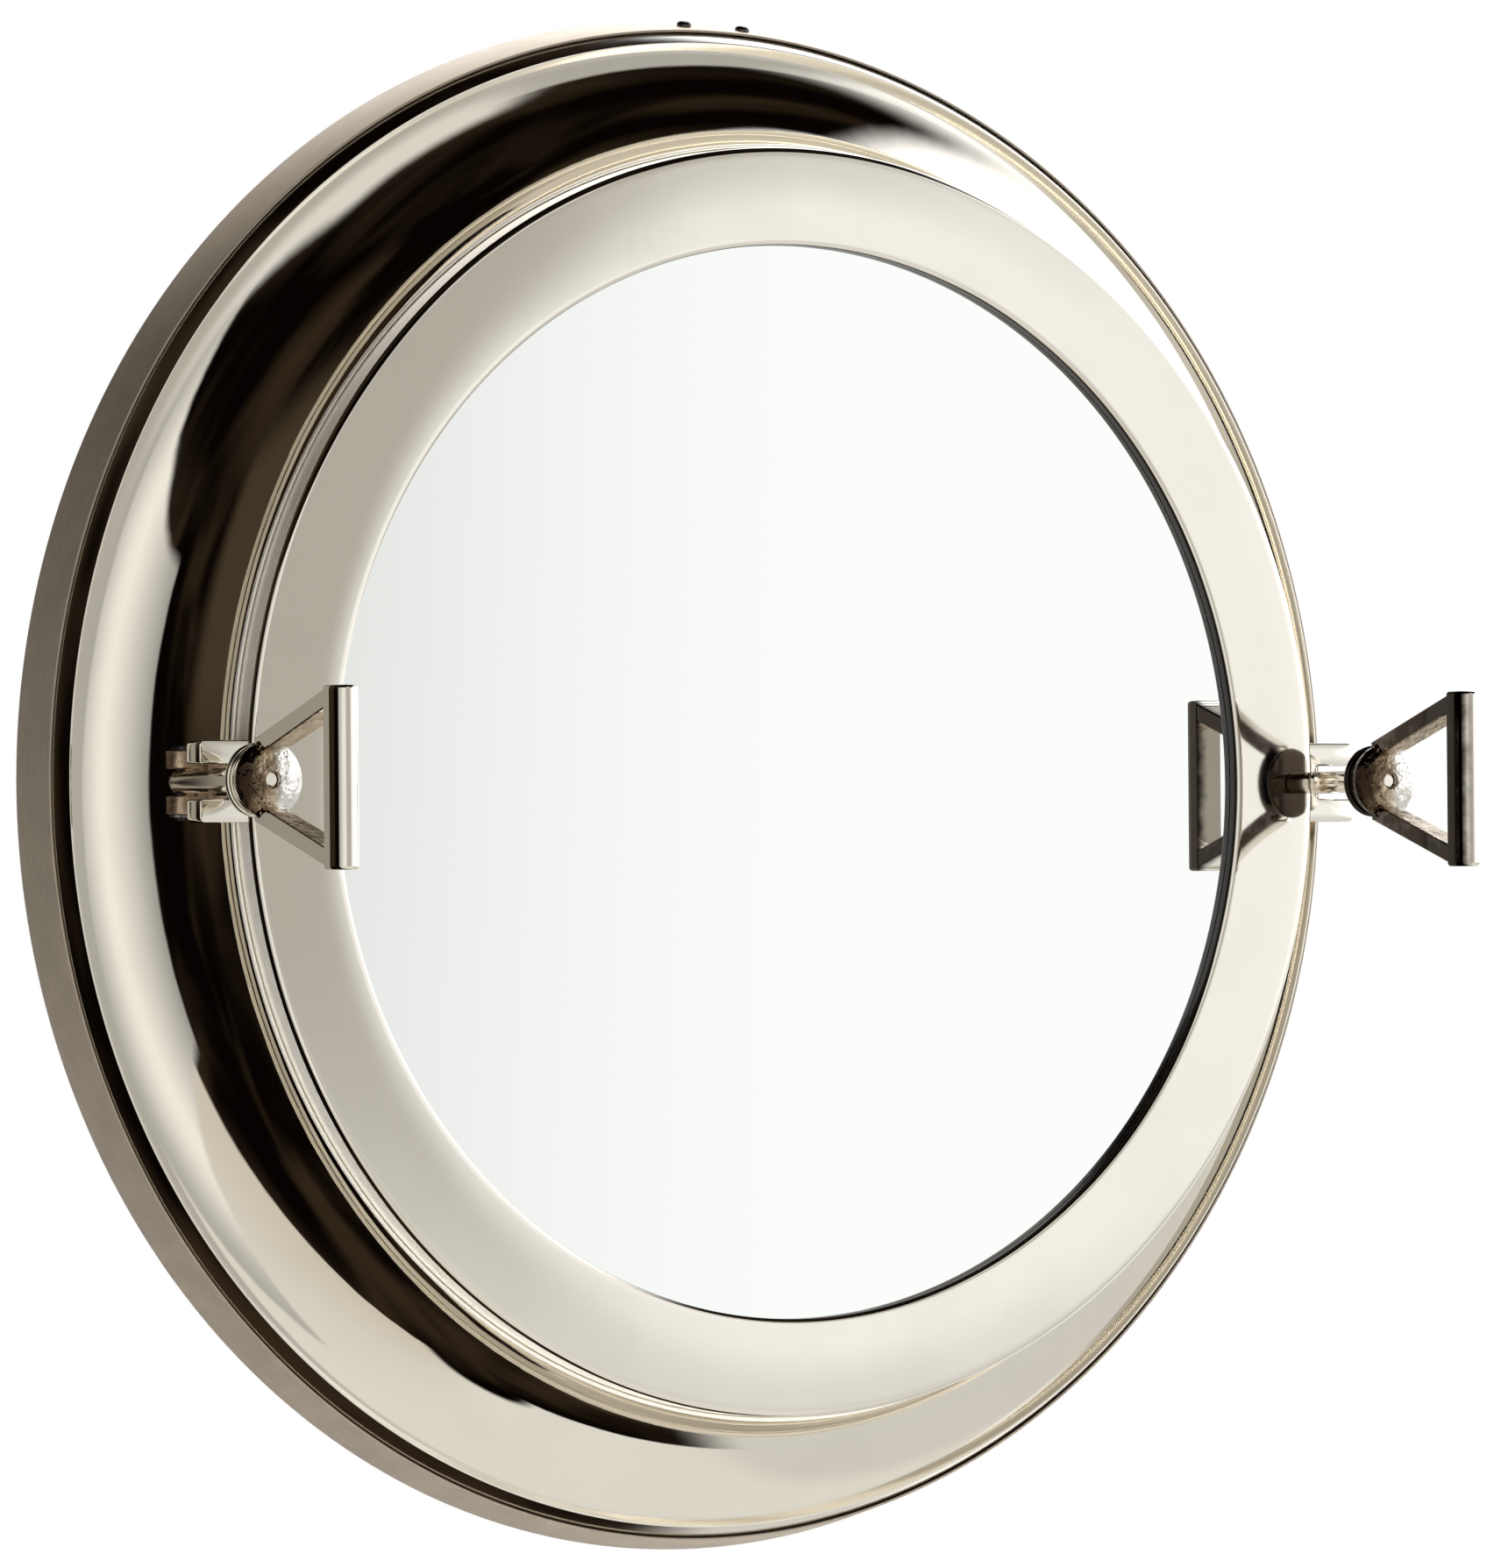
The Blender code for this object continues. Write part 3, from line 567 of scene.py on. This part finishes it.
def make_band():
    """Side wall, with a flange turned in behind the dish."""
    flange_y = BOARD_FRONT_Y - 0.0003
    inner_back = BAND_BACK_R - BAND_SHEET
    flange_r = inner_back + flange_y * math.tan(BAND_SLOPE)
    corners = [
        (BAND_BACK_R, 0.0, 0.0004),
        (BAND_FRONT_R, BAND_FRONT_Y, 0.0004),
        (BAND_FRONT_R - BAND_SHEET, BAND_FRONT_Y, 0.0002),
        (flange_r - SHEET * math.tan(BAND_SLOPE), flange_y - SHEET, 0.0010),
        (FLANGE_INNER_R, flange_y - SHEET),
        (FLANGE_INNER_R, flange_y),
        (flange_r, flange_y),
        (inner_back, 0.0),
    ]
    mesh = turned_mesh("band", rounded(corners, 4), RING_STEPS)
    return add_object("visual_side_band", mesh, "frame", SATIN, ["side_band"])


def make_dish():
    """Lip, cove, bead and spigot in one sheet; the lip and the bead have plate of their own."""
    crest_foot = (CREST_FOOT_R, cove(1)[0][1])
    corners = [
        (DISH_EDGE_R, DISH_EDGE_Y, 0.0003),
        (CREST_R, CREST_Y, 0.0004),
        (CREST_R - 0.0006, CREST_Y, 0.0002),
        crest_foot,
    ]
    outer = rounded(corners + [(CREST_FOOT_R, -0.0100)], 5)
    points = outer[:-2] + [point for point in cove(72) if point[1] > SEAT_Y + 0.0005]
    bead_at = RING_R + 0.00005 + BEAD_R
    for i in range(13):
        angle = math.radians(120 - 300 * i / 12)
        points.append((bead_at + BEAD_R * math.cos(angle), SEAT_Y - 0.0004 + BEAD_R * math.sin(angle)))
    points.append((bead_at - BEAD_R, SEAT_Y))
    points += [(SPIGOT_R, SEAT_Y), (SPIGOT_R, SPIGOT_TIP_Y), (SPIGOT_R - SHEET, SPIGOT_TIP_Y)]
    points += [(SPIGOT_R - SHEET, SEAT_Y + SHEET), (COVE_INNER_R - SHEET, SEAT_Y + SHEET)]
    points += cove(24, SHEET)[-2::-1]
    points += [(CREST_R - 0.0006, CREST_Y + SHEET * 1.6), (DISH_EDGE_R, DISH_EDGE_Y + SHEET)]
    mesh = turned_mesh("dish", points, RING_STEPS)
    for mat in (DISH_NICKEL, LIP_NICKEL, WALL_NICKEL):
        mesh.materials.append(mat)
    for face in mesh.polygons:
        radius = math.hypot(face.center.x, face.center.z)
        if radius > CREST_FOOT_R:
            face.material_index = 1
        elif face.center.y < SEAT_Y + 0.0017:
            face.material_index = 2
    return add_object("visual_dish", mesh, "frame", None, ["dish"], sharp=28)


# --- the glazed ring ------------------------------------------------------------------------------
def make_ring():
    """Flat ring with a slightly crowned face, a rounded outer edge and a small lip at the opening."""
    crown = RING_EDGE_Y - RING_FACE_Y
    edge = RING_EDGE_ROUND
    face_in = RING_OPENING_R + RING_LIP
    slope = math.atan(crown * math.pi / 2 / (RING_R - edge - face_in))
    points = [(RING_R, RING_BACK_Y), (RING_R, RING_EDGE_Y + edge + 0.0010)]
    for i in range(17):
        angle = (math.pi / 2 - slope) * i / 16
        round_out = RING_R - edge + edge * math.cos(angle)
        points.append((round_out, RING_EDGE_Y + edge - edge * math.sin(angle)))
    face_out = points[-1][0]
    for i in range(1, 25):
        share = i / 24
        across = face_out + (face_in - face_out) * share
        points.append((across, RING_EDGE_Y - crown * math.sin(math.pi / 2 * share)))
    for i in range(1, 9):
        angle = math.pi / 2 * (1 + i / 8)
        lip_y = RING_FACE_Y + RING_LIP - RING_LIP * math.sin(angle)
        points.append((face_in + RING_LIP * math.cos(angle), lip_y))
    points += [(RING_OPENING_R, RING_PLATE_Y), (RING_WALL_IN_R, RING_PLATE_Y), (RING_WALL_IN_R, RING_BACK_Y)]
    mesh = turned_mesh("ring", points, RING_STEPS)
    for mat in (RING_NICKEL, WALL_NICKEL, LINING):
        mesh.materials.append(mat)
    for face in mesh.polygons:
        radius = math.hypot(face.center.x, face.center.z)
        if radius < RING_OPENING_R + 0.0004:
            face.material_index = 2
        elif radius > RING_R - 0.0001:
            face.material_index = 1
    return add_object("visual_front_ring", mesh, "glazed_ring", None, ["front_ring"])


def make_glass():
    """Glass with ground edges; the second ring of points keeps the front shaded flat."""
    edge = 0.0004
    points = [
        (0.0, GLASS_FRONT_Y),
        (GLASS_R - 0.0020, GLASS_FRONT_Y),
        (GLASS_R - edge, GLASS_FRONT_Y),
        (GLASS_R, GLASS_FRONT_Y + edge),
        (GLASS_R, GLASS_BACK_Y - edge),
        (GLASS_R - edge, GLASS_BACK_Y),
        (0.0, GLASS_BACK_Y),
    ]
    mesh = turned_mesh("glass", points, RING_STEPS)
    return add_object("visual_mirror_glass", mesh, "glazed_ring", MIRROR, ["mirror_glass"])


make_band()
make_dish()
make_ring()
make_glass()


# --- the dogs -------------------------------------------------------------------------------------
def grip_mesh(name):
    """Two spreading arms, and a bar across their ends that is flat behind and half round in front."""
    bm = bmesh.new()

    def arm_section(half_x, half_t, radius=0.0007, support=0.00015):
        """Rounded rectangle; a point on the flat beside each corner keeps the flats shaded flat."""
        points = []
        for turn, (side_x, side_t) in enumerate(((1, 1), (-1, 1), (-1, -1), (1, -1))):
            corner = []
            for k in range(7):
                angle = math.radians(90 * turn + 15 * k)
                x = (half_x - radius) * side_x + radius * math.cos(angle)
                corner.append((x, (half_t - radius) * side_t + radius * math.sin(angle)))
            first = corner[0]
            last = corner[-1]
            along = math.radians(90 * turn - 90)
            corner.insert(0, (first[0] + support * math.cos(along), first[1] + support * math.sin(along)))
            along = math.radians(90 * turn + 180)
            corner.append((last[0] + support * math.cos(along), last[1] + support * math.sin(along)))
            points += corner
        return points

    def loft(rings):
        for a, b in zip(rings, rings[1:]):
            for i in range(len(a)):
                j = (i + 1) % len(a)
                bm.faces.new((a[i], a[j], b[j], b[i]))
        bm.faces.new(rings[0])
        bm.faces.new(rings[-1][::-1])

    round_y = GRIP_FRONT_Y + GRIP_HALF_X
    arm_end = GRIP_HALF_Z - 0.0037
    for up in (1, -1):
        lean = up * math.atan2(arm_end - ARM_ROOT_Z, ARM_ROOT_Y - round_y)
        rings = []
        for k in range(7):
            share = k / 6
            y = ARM_ROOT_Y + (round_y - ARM_ROOT_Y) * share
            z = up * (ARM_ROOT_Z + (arm_end - ARM_ROOT_Z) * share)
            half_x = ARM_ROOT_HALF_X + (GRIP_HALF_X - ARM_INSET - ARM_ROOT_HALF_X) * share
            rings.append([])
            for x, t in arm_section(half_x, ARM_HALF_T):
                rings[-1].append(bm.verts.new((x, y + t * math.sin(lean), z + t * math.cos(lean))))
        loft(rings)
    section = [(-GRIP_HALF_X, GRIP_FRONT_Y + GRIP_BAR), (GRIP_HALF_X, GRIP_FRONT_Y + GRIP_BAR)]
    for i in range(25):
        angle = math.pi * i / 24
        section.append((GRIP_HALF_X * math.cos(angle), round_y - GRIP_HALF_X * math.sin(angle)))
    stations = []
    for k in range(6):
        angle = math.pi / 2 * k / 5
        inset = GRIP_CORNER * (1 - math.sin(angle))
        stations.append((GRIP_HALF_Z - GRIP_CORNER * (1 - math.cos(angle)), 1 - inset / GRIP_HALF_X))
    stations.append((GRIP_HALF_Z - GRIP_CORNER - 0.0002, 1.0))
    middle = round_y + 0.0010
    bars = []
    for z, size in stations + [(-z, size) for z, size in reversed(stations)]:
        bars.append([bm.verts.new((x * size, middle + (y - middle) * size, z)) for x, y in section])
    loft(bars)
    for up in (1, -1):
        for across in (1, -1):
            place = Matrix.Translation((across * NUB_AT[0], NUB_AT[1], up * NUB_AT[2]))
            bmesh.ops.create_icosphere(bm, subdivisions=2, radius=NUB_R, matrix=place)
    bmesh.ops.recalc_face_normals(bm, faces=bm.faces)
    mesh = bpy.data.meshes.new(name)
    bm.to_mesh(mesh)
    bm.free()
    return mesh


def make_wing_nut(side, sign):
    """Bored hub with a domed front, and its grip, standing in one another like the two of a casting."""
    hub = rounded(
        [
            (HUB_BORE_R, HUB_BACK_Y - 0.0002),
            (0.0132, HUB_BACK_Y - 0.0002, 0.0006),
            (HUB_RIM_R - 0.0004, HUB_RIM_Y + 0.0022, 0.0015),
            (HUB_RIM_R, HUB_RIM_Y, 0.0004),
            (HUB_RIM_R - 0.0014, HUB_RIM_Y - 0.0012, 0.0010),
            (HUB_RIM_R - 0.0040, HUB_RIM_Y - 0.0028, 0.0030),
            (HUB_RIM_R * 0.38, HUB_DOME_Y + 0.0001, 0.0080),
            (HUB_BORE_R + 0.0003, HUB_DOME_Y, 0.0003),
            (HUB_BORE_R, HUB_DOME_Y + 0.0006),
        ],
        5,
    )
    place = Matrix.Translation((sign * DOG_X, 0, 0))
    hub_obj = add_object(f"visual_{side}_wing_nut", turned_mesh("hub", hub, BOLT_STEPS, place))
    grip = grip_mesh("grip")
    grip.transform(place)
    grip_obj = add_object(f"{side}_grip", grip, sharp=38)
    with bpy.context.temp_override(active_object=hub_obj, selected_editable_objects=[hub_obj, grip_obj]):
        bpy.ops.object.join()
    mesh = hub_obj.data
    for mat in (NUT_NICKEL[side], DOME_CAST[side], ROUGH_CAST):
        mesh.materials.append(mat)
    for face in mesh.polygons:
        centre = face.center
        radius = math.hypot(centre.x - sign * DOG_X, centre.z)
        on_dome = HUB_DOME_Y - 0.0010 < centre.y < HUB_RIM_Y - 0.0001 and radius < HUB_RIM_R - 0.0002
        inward = face.normal.z * math.copysign(1.0, -centre.z)
        if on_dome:
            face.material_index = 1
        elif GRIP_FRONT_Y + GRIP_BAR < centre.y < HUB_RIM_Y and inward > 0.55:
            face.material_index = 2
    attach(hub_obj, f"{side}_nut")
    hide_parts(f"{side}_wing_nut")


def make_washer(side, sign):
    """Flange behind the wing nut's hub."""
    back = washer_high.y
    front = washer_low.y
    corners = [
        (HUB_BORE_R, front),
        (WASHER_R, front, 0.0009),
        (WASHER_R, back, 0.0009),
        (HUB_BORE_R, back),
    ]
    place = Matrix.Translation((sign * DOG_X, 0, 0))
    mesh = turned_mesh("washer", rounded(corners, 4), BOLT_STEPS, place)
    node = f"{side}_washer"
    add_object(f"visual_{node}", mesh, node, WASHER_NICKEL[side], [node])


def make_bolt(side, sign):
    """Plain shank with a rounded end on the pin, and a thread drawn as rings inside the wing nut."""
    place = Matrix.Translation((sign * DOG_X, PIVOT_Y, 0))
    ball = math.degrees(math.asin(BOLT_R / BALL_R))
    points = []
    for i in range(17):
        angle = math.radians((180 - ball) * i / 16)
        points.append((BALL_R * math.sin(angle), BALL_R * math.cos(angle)))
    points[0] = (0.0, BALL_R)
    shoulder = SHOULDER_Y - PIVOT_Y
    tip = THREAD_TIP_Y - PIVOT_Y
    points += [(BOLT_R, shoulder + 0.0004), (BOLT_R - 0.0004, shoulder)]
    turns = int((shoulder - tip - 0.0012) / THREAD_PITCH)
    for i in range(turns):
        y = shoulder - 0.0004 - THREAD_PITCH * i
        points += [(THREAD_R, y), (THREAD_R - THREAD_DEPTH, y - THREAD_PITCH / 2)]
    points += [(THREAD_R, tip + 0.0006), (THREAD_R - 0.0006, tip), (0.0, tip)]
    obj = add_object(f"visual_{side}_swing_bolt", turned_mesh("bolt", points, BOLT_STEPS, place))
    across = place @ Matrix.Rotation(math.pi / 2, 4, "X")
    cut(obj, turned_mesh("pin_hole", rod(BOLT_PIN_HOLE_R, 0.012), PIN_STEPS, across))
    finish_shading(obj, BOLT_NICKEL)
    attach(obj, f"{side}_bolt")
    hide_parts(f"{side}_swing_bolt")


def make_lug(side, sign):
    """Fork on the ring's wall that the bolt swings into; its root is cut to the wall's curve."""
    end = max(abs(lug_low.x), abs(lug_high.x))
    half = lug_high.z
    corners = [
        (LUG_ROOT_R, -half),
        (end, -half, 0.0022),
        (end, -LUG_SLOT_HALF, 0.0012),
        (LUG_SLOT_FOOT, -LUG_SLOT_HALF, 0.0026),
        (LUG_SLOT_FOOT, LUG_SLOT_HALF, 0.0026),
        (end, LUG_SLOT_HALF, 0.0012),
        (end, half, 0.0022),
        (LUG_ROOT_R, half),
    ]
    outline = [(sign * x, z) for x, z in rounded(corners, 5)]
    stand = Matrix.Translation((0, (lug_low.y + lug_high.y) / 2, 0)) @ Matrix.Rotation(math.pi / 2, 4, "X")
    mesh = extruded_mesh("lug", [outline], lug_high.y - lug_low.y, stand)
    obj = bevelled(add_object(f"visual_{side}_fork_lug", mesh), 0.0007)
    reach = RING_R + 0.0002
    ring_space = [(0, -0.09), (reach, -0.09), (reach, -0.065), (0, -0.065)]
    cut(obj, turned_mesh("ring_cut", ring_space, RING_STEPS))
    finish_shading(obj, DOG_NICKEL)
    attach(obj, "glazed_ring")
    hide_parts(f"{side}_fork_lug")


def make_clevis(side, sign):
    """Two ears on the wall of the cove, joined by a web."""
    turns = [math.pi * (i / 24 - 0.5) for i in range(25)]
    outline = [(sign * EAR_ROUND_R * math.cos(a), EAR_ROUND_R * math.sin(a)) for a in turns]
    outline += [(-sign * EAR_ROOT, EAR_ROUND_R), (-sign * EAR_ROOT, -EAR_ROUND_R)]
    place = Matrix.Translation((sign * DOG_X, PIVOT_Y, 0))
    ears = extruded_mesh("ears", [outline], 2 * ear_high.z, place)
    obj = add_object(f"visual_{side}_bolt_clevis", ears)
    foot = -sign * EAR_SLOT_FOOT
    past = sign * 0.02
    slot = [(foot, -0.02), (past, -0.02), (past, 0.02), (foot, 0.02)]
    across = place @ Matrix.Rotation(math.pi / 2, 4, "X")
    cut(
        obj,
        extruded_mesh("slot", [slot], EAR_GAP, place),
        turned_mesh("hole", rod(EAR_PIN_HOLE_R, 0.02), PIN_STEPS, across),
    )
    bevelled(obj, 0.0006)
    behind = cove(72, -0.0001) + [(0.2400, SEAT_Y), (0.2400, 0.0), (COVE_OUTER_R, 0.0)]
    cut(obj, turned_mesh("cove_cut", behind, RING_STEPS))
    finish_shading(obj, EAR_CAST)
    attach(obj, "frame")
    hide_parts(f"{side}_bolt_clevis")


for side, sign in (("left", -1.0), ("right", 1.0)):
    make_wing_nut(side, sign)
    make_washer(side, sign)
    make_bolt(side, sign)
    make_lug(side, sign)
    make_clevis(side, sign)


# --- screws on the band and on the back -----------------------------------------------------------
def make_hanger_screw(side):
    """Pan-head screw with a cross recess, standing on the sloping top of the band."""
    low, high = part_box(f"hanger_screw_{side}")
    middle_x = (low.x + high.x) / 2
    surface = BAND_BACK_R + HANGER_SEAT_Y * math.tan(BAND_SLOPE)
    angle = math.acos(middle_x / surface)
    outward = Vector((math.cos(angle), 0, math.sin(angle)))
    lift = Vector((0, -math.sin(BAND_SLOPE), 0)) + outward * math.cos(BAND_SLOPE)
    stand = lift.to_track_quat("Y", "Z").to_matrix().to_4x4()
    place = Matrix.Translation(outward * surface + Vector((0, HANGER_SEAT_Y, 0))) @ stand
    head = rounded(
        [
            (0.0, 0.0021),
            (0.0020, 0.0020, 0.0012),
            (SCREW_HEAD_R, 0.0011, 0.0008),
            (SCREW_HEAD_R, 0.0002),
            (SCREW_SHANK_R, 0.0002),
            (SCREW_SHANK_R, -0.0085),
            (0.0, -0.0085),
        ],
        4,
    )
    obj = add_object(f"visual_hanger_screw_{side}", turned_mesh("screw", head, SCREW_STEPS, place))
    cut(obj, *cross_recess(place @ Matrix.Translation((0, 0.0019, 0)), 0.0016))
    finish_shading(obj, STEEL)
    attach(obj, "frame")
    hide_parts(f"hanger_screw_{side}")


def make_back_screw(number):
    """Countersunk wood screw through the backing board."""
    low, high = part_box(f"backing_screw_{number}")
    middle = (low + high) / 2
    place = Matrix.Translation((middle.x, 0, middle.z))
    points = [(0.0, -0.0002), (0.0034, -0.0002), (0.0035, -0.0005)]
    points += [(SCREW_SHANK_R, -0.0025), (SCREW_SHANK_R, -0.0100), (0.0004, -0.0104), (0.0, -0.0104)]
    obj = add_object(f"visual_backing_screw_{number}", turned_mesh("screw", points, SCREW_STEPS, place))
    cut(obj, *cross_recess(place, 0.0018))
    finish_shading(obj, ZINC)
    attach(obj, "frame")
    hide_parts(f"backing_screw_{number}")


for side in ("left", "right"):
    make_hanger_screw(side)
for number in range(1, 9):
    make_back_screw(number)

# --- CAD nodes that stay, with their materials ----------------------------------------------------
KEPT = {
    "backing_board": BOARD,
    "glass_backing": BOARD,
    "foam_tape": FOAM,
    "hanging_bracket": ZINC,
    "hanger_nut_left": ZINC,
    "hanger_nut_right": ZINC,
    "left_pivot_pin": STEEL,
    "right_pivot_pin": STEEL,
    "left_pin_clip": ZINC,
    "right_pin_clip": ZINC,
}
for number in range(1, 5):
    KEPT[f"glass_clip_{number}"] = ZINC
    KEPT[f"clip_screw_{number}"] = ZINC
for node, mat in KEPT.items():
    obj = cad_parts[node]
    if not obj.material_slots:
        obj.data.materials.append(mat)
    for slot in obj.material_slots:
        slot.material = mat


# --- studio ---------------------------------------------------------------------------------------
def make_world():
    """White studio for the camera, and the patches of light and dark that the metal reflects.

    A direction is given as degrees to the left of straight ahead of the object's face, and degrees of rise.
    """
    world = bpy.data.worlds.new("studio")
    world.use_nodes = True
    bpy.context.scene.world = world
    nodes = Nodes(world.node_tree)
    shine = world.node_tree.nodes["Background"]
    output = world.node_tree.nodes["World Output"]
    direction = nodes.add("TexCoord").outputs["Generated"]
    parts = nodes.add("SeparateXYZ", {0: direction}).outputs
    behind_x = nodes.math("MULTIPLY", parts["X"], -1.0)
    behind_y = nodes.math("MULTIPLY", parts["Y"], -1.0)
    left = nodes.math("MULTIPLY", nodes.math("ARCTAN2", behind_x, behind_y), math.degrees(1))
    rise = nodes.math("MULTIPLY", nodes.math("ARCSINE", parts["Z"]), math.degrees(1))
    hot = nodes.math("MULTIPLY", nodes.ramp(left, -27.8, -33.8), nodes.ramp(left, -50.0, -42.0))
    hot = nodes.math("MULTIPLY", hot, nodes.ramp(rise, -11.0, -4.0))
    hot = nodes.math("MULTIPLY", hot, nodes.ramp(rise, 14.5, 6.5))
    ragged = nodes.math("SUBTRACT", nodes.noise(direction, 3.0, 1.0), 0.5)
    left = nodes.math("MULTIPLY_ADD", ragged, 4.0, left)
    rise = nodes.math("MULTIPLY_ADD", ragged, 3.0, rise)

    def window(from_left, to_left, from_rise, to_rise, soft, soft_top=None):
        """How much a direction lies inside a soft-edged rectangle of the surroundings, in degrees."""
        soft_top = soft_top or soft
        mask = nodes.ramp(left, from_left - soft, from_left + soft)
        mask = nodes.math("MULTIPLY", mask, nodes.ramp(left, to_left + soft, to_left - soft))
        mask = nodes.math("MULTIPLY", mask, nodes.ramp(rise, from_rise - soft, from_rise + soft))
        return nodes.math("MULTIPLY", mask, nodes.ramp(rise, to_rise + soft_top, to_rise - soft_top))

    def disc(centre_left, centre_rise, radius, soft):
        """How much a direction lies inside a soft-edged circle of the surroundings, in degrees."""
        turn = math.radians(centre_left)
        lift = math.radians(centre_rise)
        axis = (-math.sin(turn) * math.cos(lift), -math.cos(turn) * math.cos(lift), math.sin(lift))
        along = nodes.add("VectorMath", {0: direction, 1: axis}, operation="DOT_PRODUCT").outputs["Value"]
        away = nodes.math("MULTIPLY", nodes.math("ARCCOSINE", along), math.degrees(1))
        return nodes.ramp(away, radius + soft, radius - soft)

    front_left = nodes.ramp(left, 22.0, 60.0, 0.96, 0.36, "LINEAR")
    front_right = nodes.ramp(left, -8.0, 20.0, 0.50, 1.0)
    front = nodes.mix(nodes.math("MULTIPLY", front_left, front_right), (0.0, 0.0, 0.0), (1.0, 0.98, 0.94))
    floor = nodes.mix(nodes.ramp(left, -30.0, 50.0), (0.80, 0.785, 0.74), (0.66, 0.615, 0.54))
    wall = nodes.mix(nodes.ramp(rise, -14.0, 4.0), (0.68, 0.67, 0.64), (1.5, 1.5, 1.5))
    brown = nodes.ramp(nodes.noise(direction, 1.7, 2.0, 0.5, 0.5), 0.40, 0.70)
    color = nodes.mix(brown, (0.002, 0.0012, 0.0008), (0.032, 0.021, 0.012))
    windows = [
        (window(100, 150, 6, 50, 9), (0.058, 0.042, 0.026)),    # faint brown patch behind on the left
        (window(-105, 50, -82, 1, 1.5), floor),
        (window(-8, 60, -31, 27, 1.3), front),                  # bright patch in front on the left
        (disc(-26, 8, 28, 1.3), (0.46, 0.45, 0.42)),            # grey surround, straight ahead
        (window(-26, -4, 14, 42, 4), (0.78, 0.765, 0.73)),      # pale patch in its upper part
        (disc(-32, 1, 22, 2.5), (0.74, 0.735, 0.72)),           # white middle of the surround
        (disc(-21, 10, 16, 5), (0.48, 0.465, 0.43)),            # shade in the white middle
        (window(-100, -43, -5, 25, 3, 10), (1.5, 1.5, 1.5)),    # bright patch on the right
        (disc(-98, -8, 50, 4), wall),                           # pale patch further to the right
        (disc(180, 0, 38, 2.5), (0.33, 0.31, 0.27)),            # grey patch behind
        (window(-138, -110, -28, 4, 5), (1.25, 1.25, 1.22)),    # bright patches behind on the right
        (window(-168, -120, 12, 45, 6), (2.0, 2.1, 2.25)),
        (hot, (1.0, 1.0, 0.99)),                                # white that the mirror shows
    ]
    for mask, tone in windows:
        color = nodes.mix(mask, color, tone)
    world.node_tree.links.new(color, shine.inputs["Color"])
    shine.inputs["Strength"].default_value = 1.0
    backdrop = nodes.add("Background", {"Color": (1.0, 1.0, 1.0, 1.0), "Strength": 1.0})
    seen = nodes.add("LightPath").outputs["Is Camera Ray"]
    mixed = nodes.add("MixShader", {0: seen, 1: shine.outputs[0], 2: backdrop.outputs[0]})
    world.node_tree.links.new(mixed.outputs[0], output.inputs["Surface"])


def make_floor():
    """Plain pale floor, well below the object, which the metal does not mirror."""
    bm = bmesh.new()
    bmesh.ops.create_grid(bm, x_segments=4, y_segments=4, size=3.0)
    mesh = bpy.data.meshes.new("floor")
    bm.to_mesh(mesh)
    bm.free()
    floor = bpy.data.objects.new("floor", mesh)
    floor.location = (0, 0, cad_box[0].z - 0.38)
    floor.visible_glossy = False
    bpy.context.scene.collection.objects.link(floor)
    mat, nodes, shader, place = new_material("pale_floor", 0.0)
    grain = nodes.noise(place, 30.0, 3.0)
    feed(
        nodes,
        shader,
        color=nodes.mix(grain, (0.86, 0.86, 0.86), (0.90, 0.90, 0.90)),
        roughness=nodes.ramp(grain, 0.3, 0.7, 0.75, 0.9),
    )
    mesh.materials.append(mat)


def make_light(name, place, size, power):
    """Lamp that the metal does not mirror: it only lights the satin and painted surfaces."""
    data = bpy.data.lights.new(name, "AREA")
    data.shape = "DISK"
    data.size = size
    data.energy = power
    light = bpy.data.objects.new(name, data)
    light.location = place
    light.rotation_euler = (-Vector(place)).to_track_quat("-Z", "Y").to_euler()
    light.visible_glossy = False
    bpy.context.scene.collection.objects.link(light)


def make_camera():
    """Level long-lens view from the front left, a little below the middle."""
    yaw = math.radians(33.082)
    pitch = math.radians(0.797)
    roll = math.radians(-0.471)
    ahead = Vector((math.sin(yaw) * math.cos(pitch), math.cos(yaw) * math.cos(pitch), math.sin(pitch)))
    across = Vector((math.cos(yaw), -math.sin(yaw), 0))
    above = across.cross(ahead)
    right = across * math.cos(roll) + above * math.sin(roll)
    up = above * math.cos(roll) - across * math.sin(roll)
    data = bpy.data.cameras.new("camera")
    data.sensor_fit = "HORIZONTAL"
    data.sensor_width = 36.0
    data.lens = 311.5
    data.clip_end = 100.0
    camera = bpy.data.objects.new("camera", data)
    turn = Matrix((right, up, -ahead)).transposed().to_4x4()
    camera.matrix_world = Matrix.Translation((-2.7991, -4.3491, -0.0717)) @ turn
    bpy.context.scene.collection.objects.link(camera)
    bpy.context.scene.camera = camera


make_world()
make_floor()
make_light("key", (-3.0, -1.2, 0.4), 2.4, 25.0)
make_light("top", (1.4, 0.5, 2.6), 1.0, 700.0)
make_light("back", (-0.5, 3.0, 2.0), 2.4, 15.0)
make_camera()
bpy.context.scene.view_settings.view_transform = "Standard"
bpy.context.scene.view_settings.look = "None"
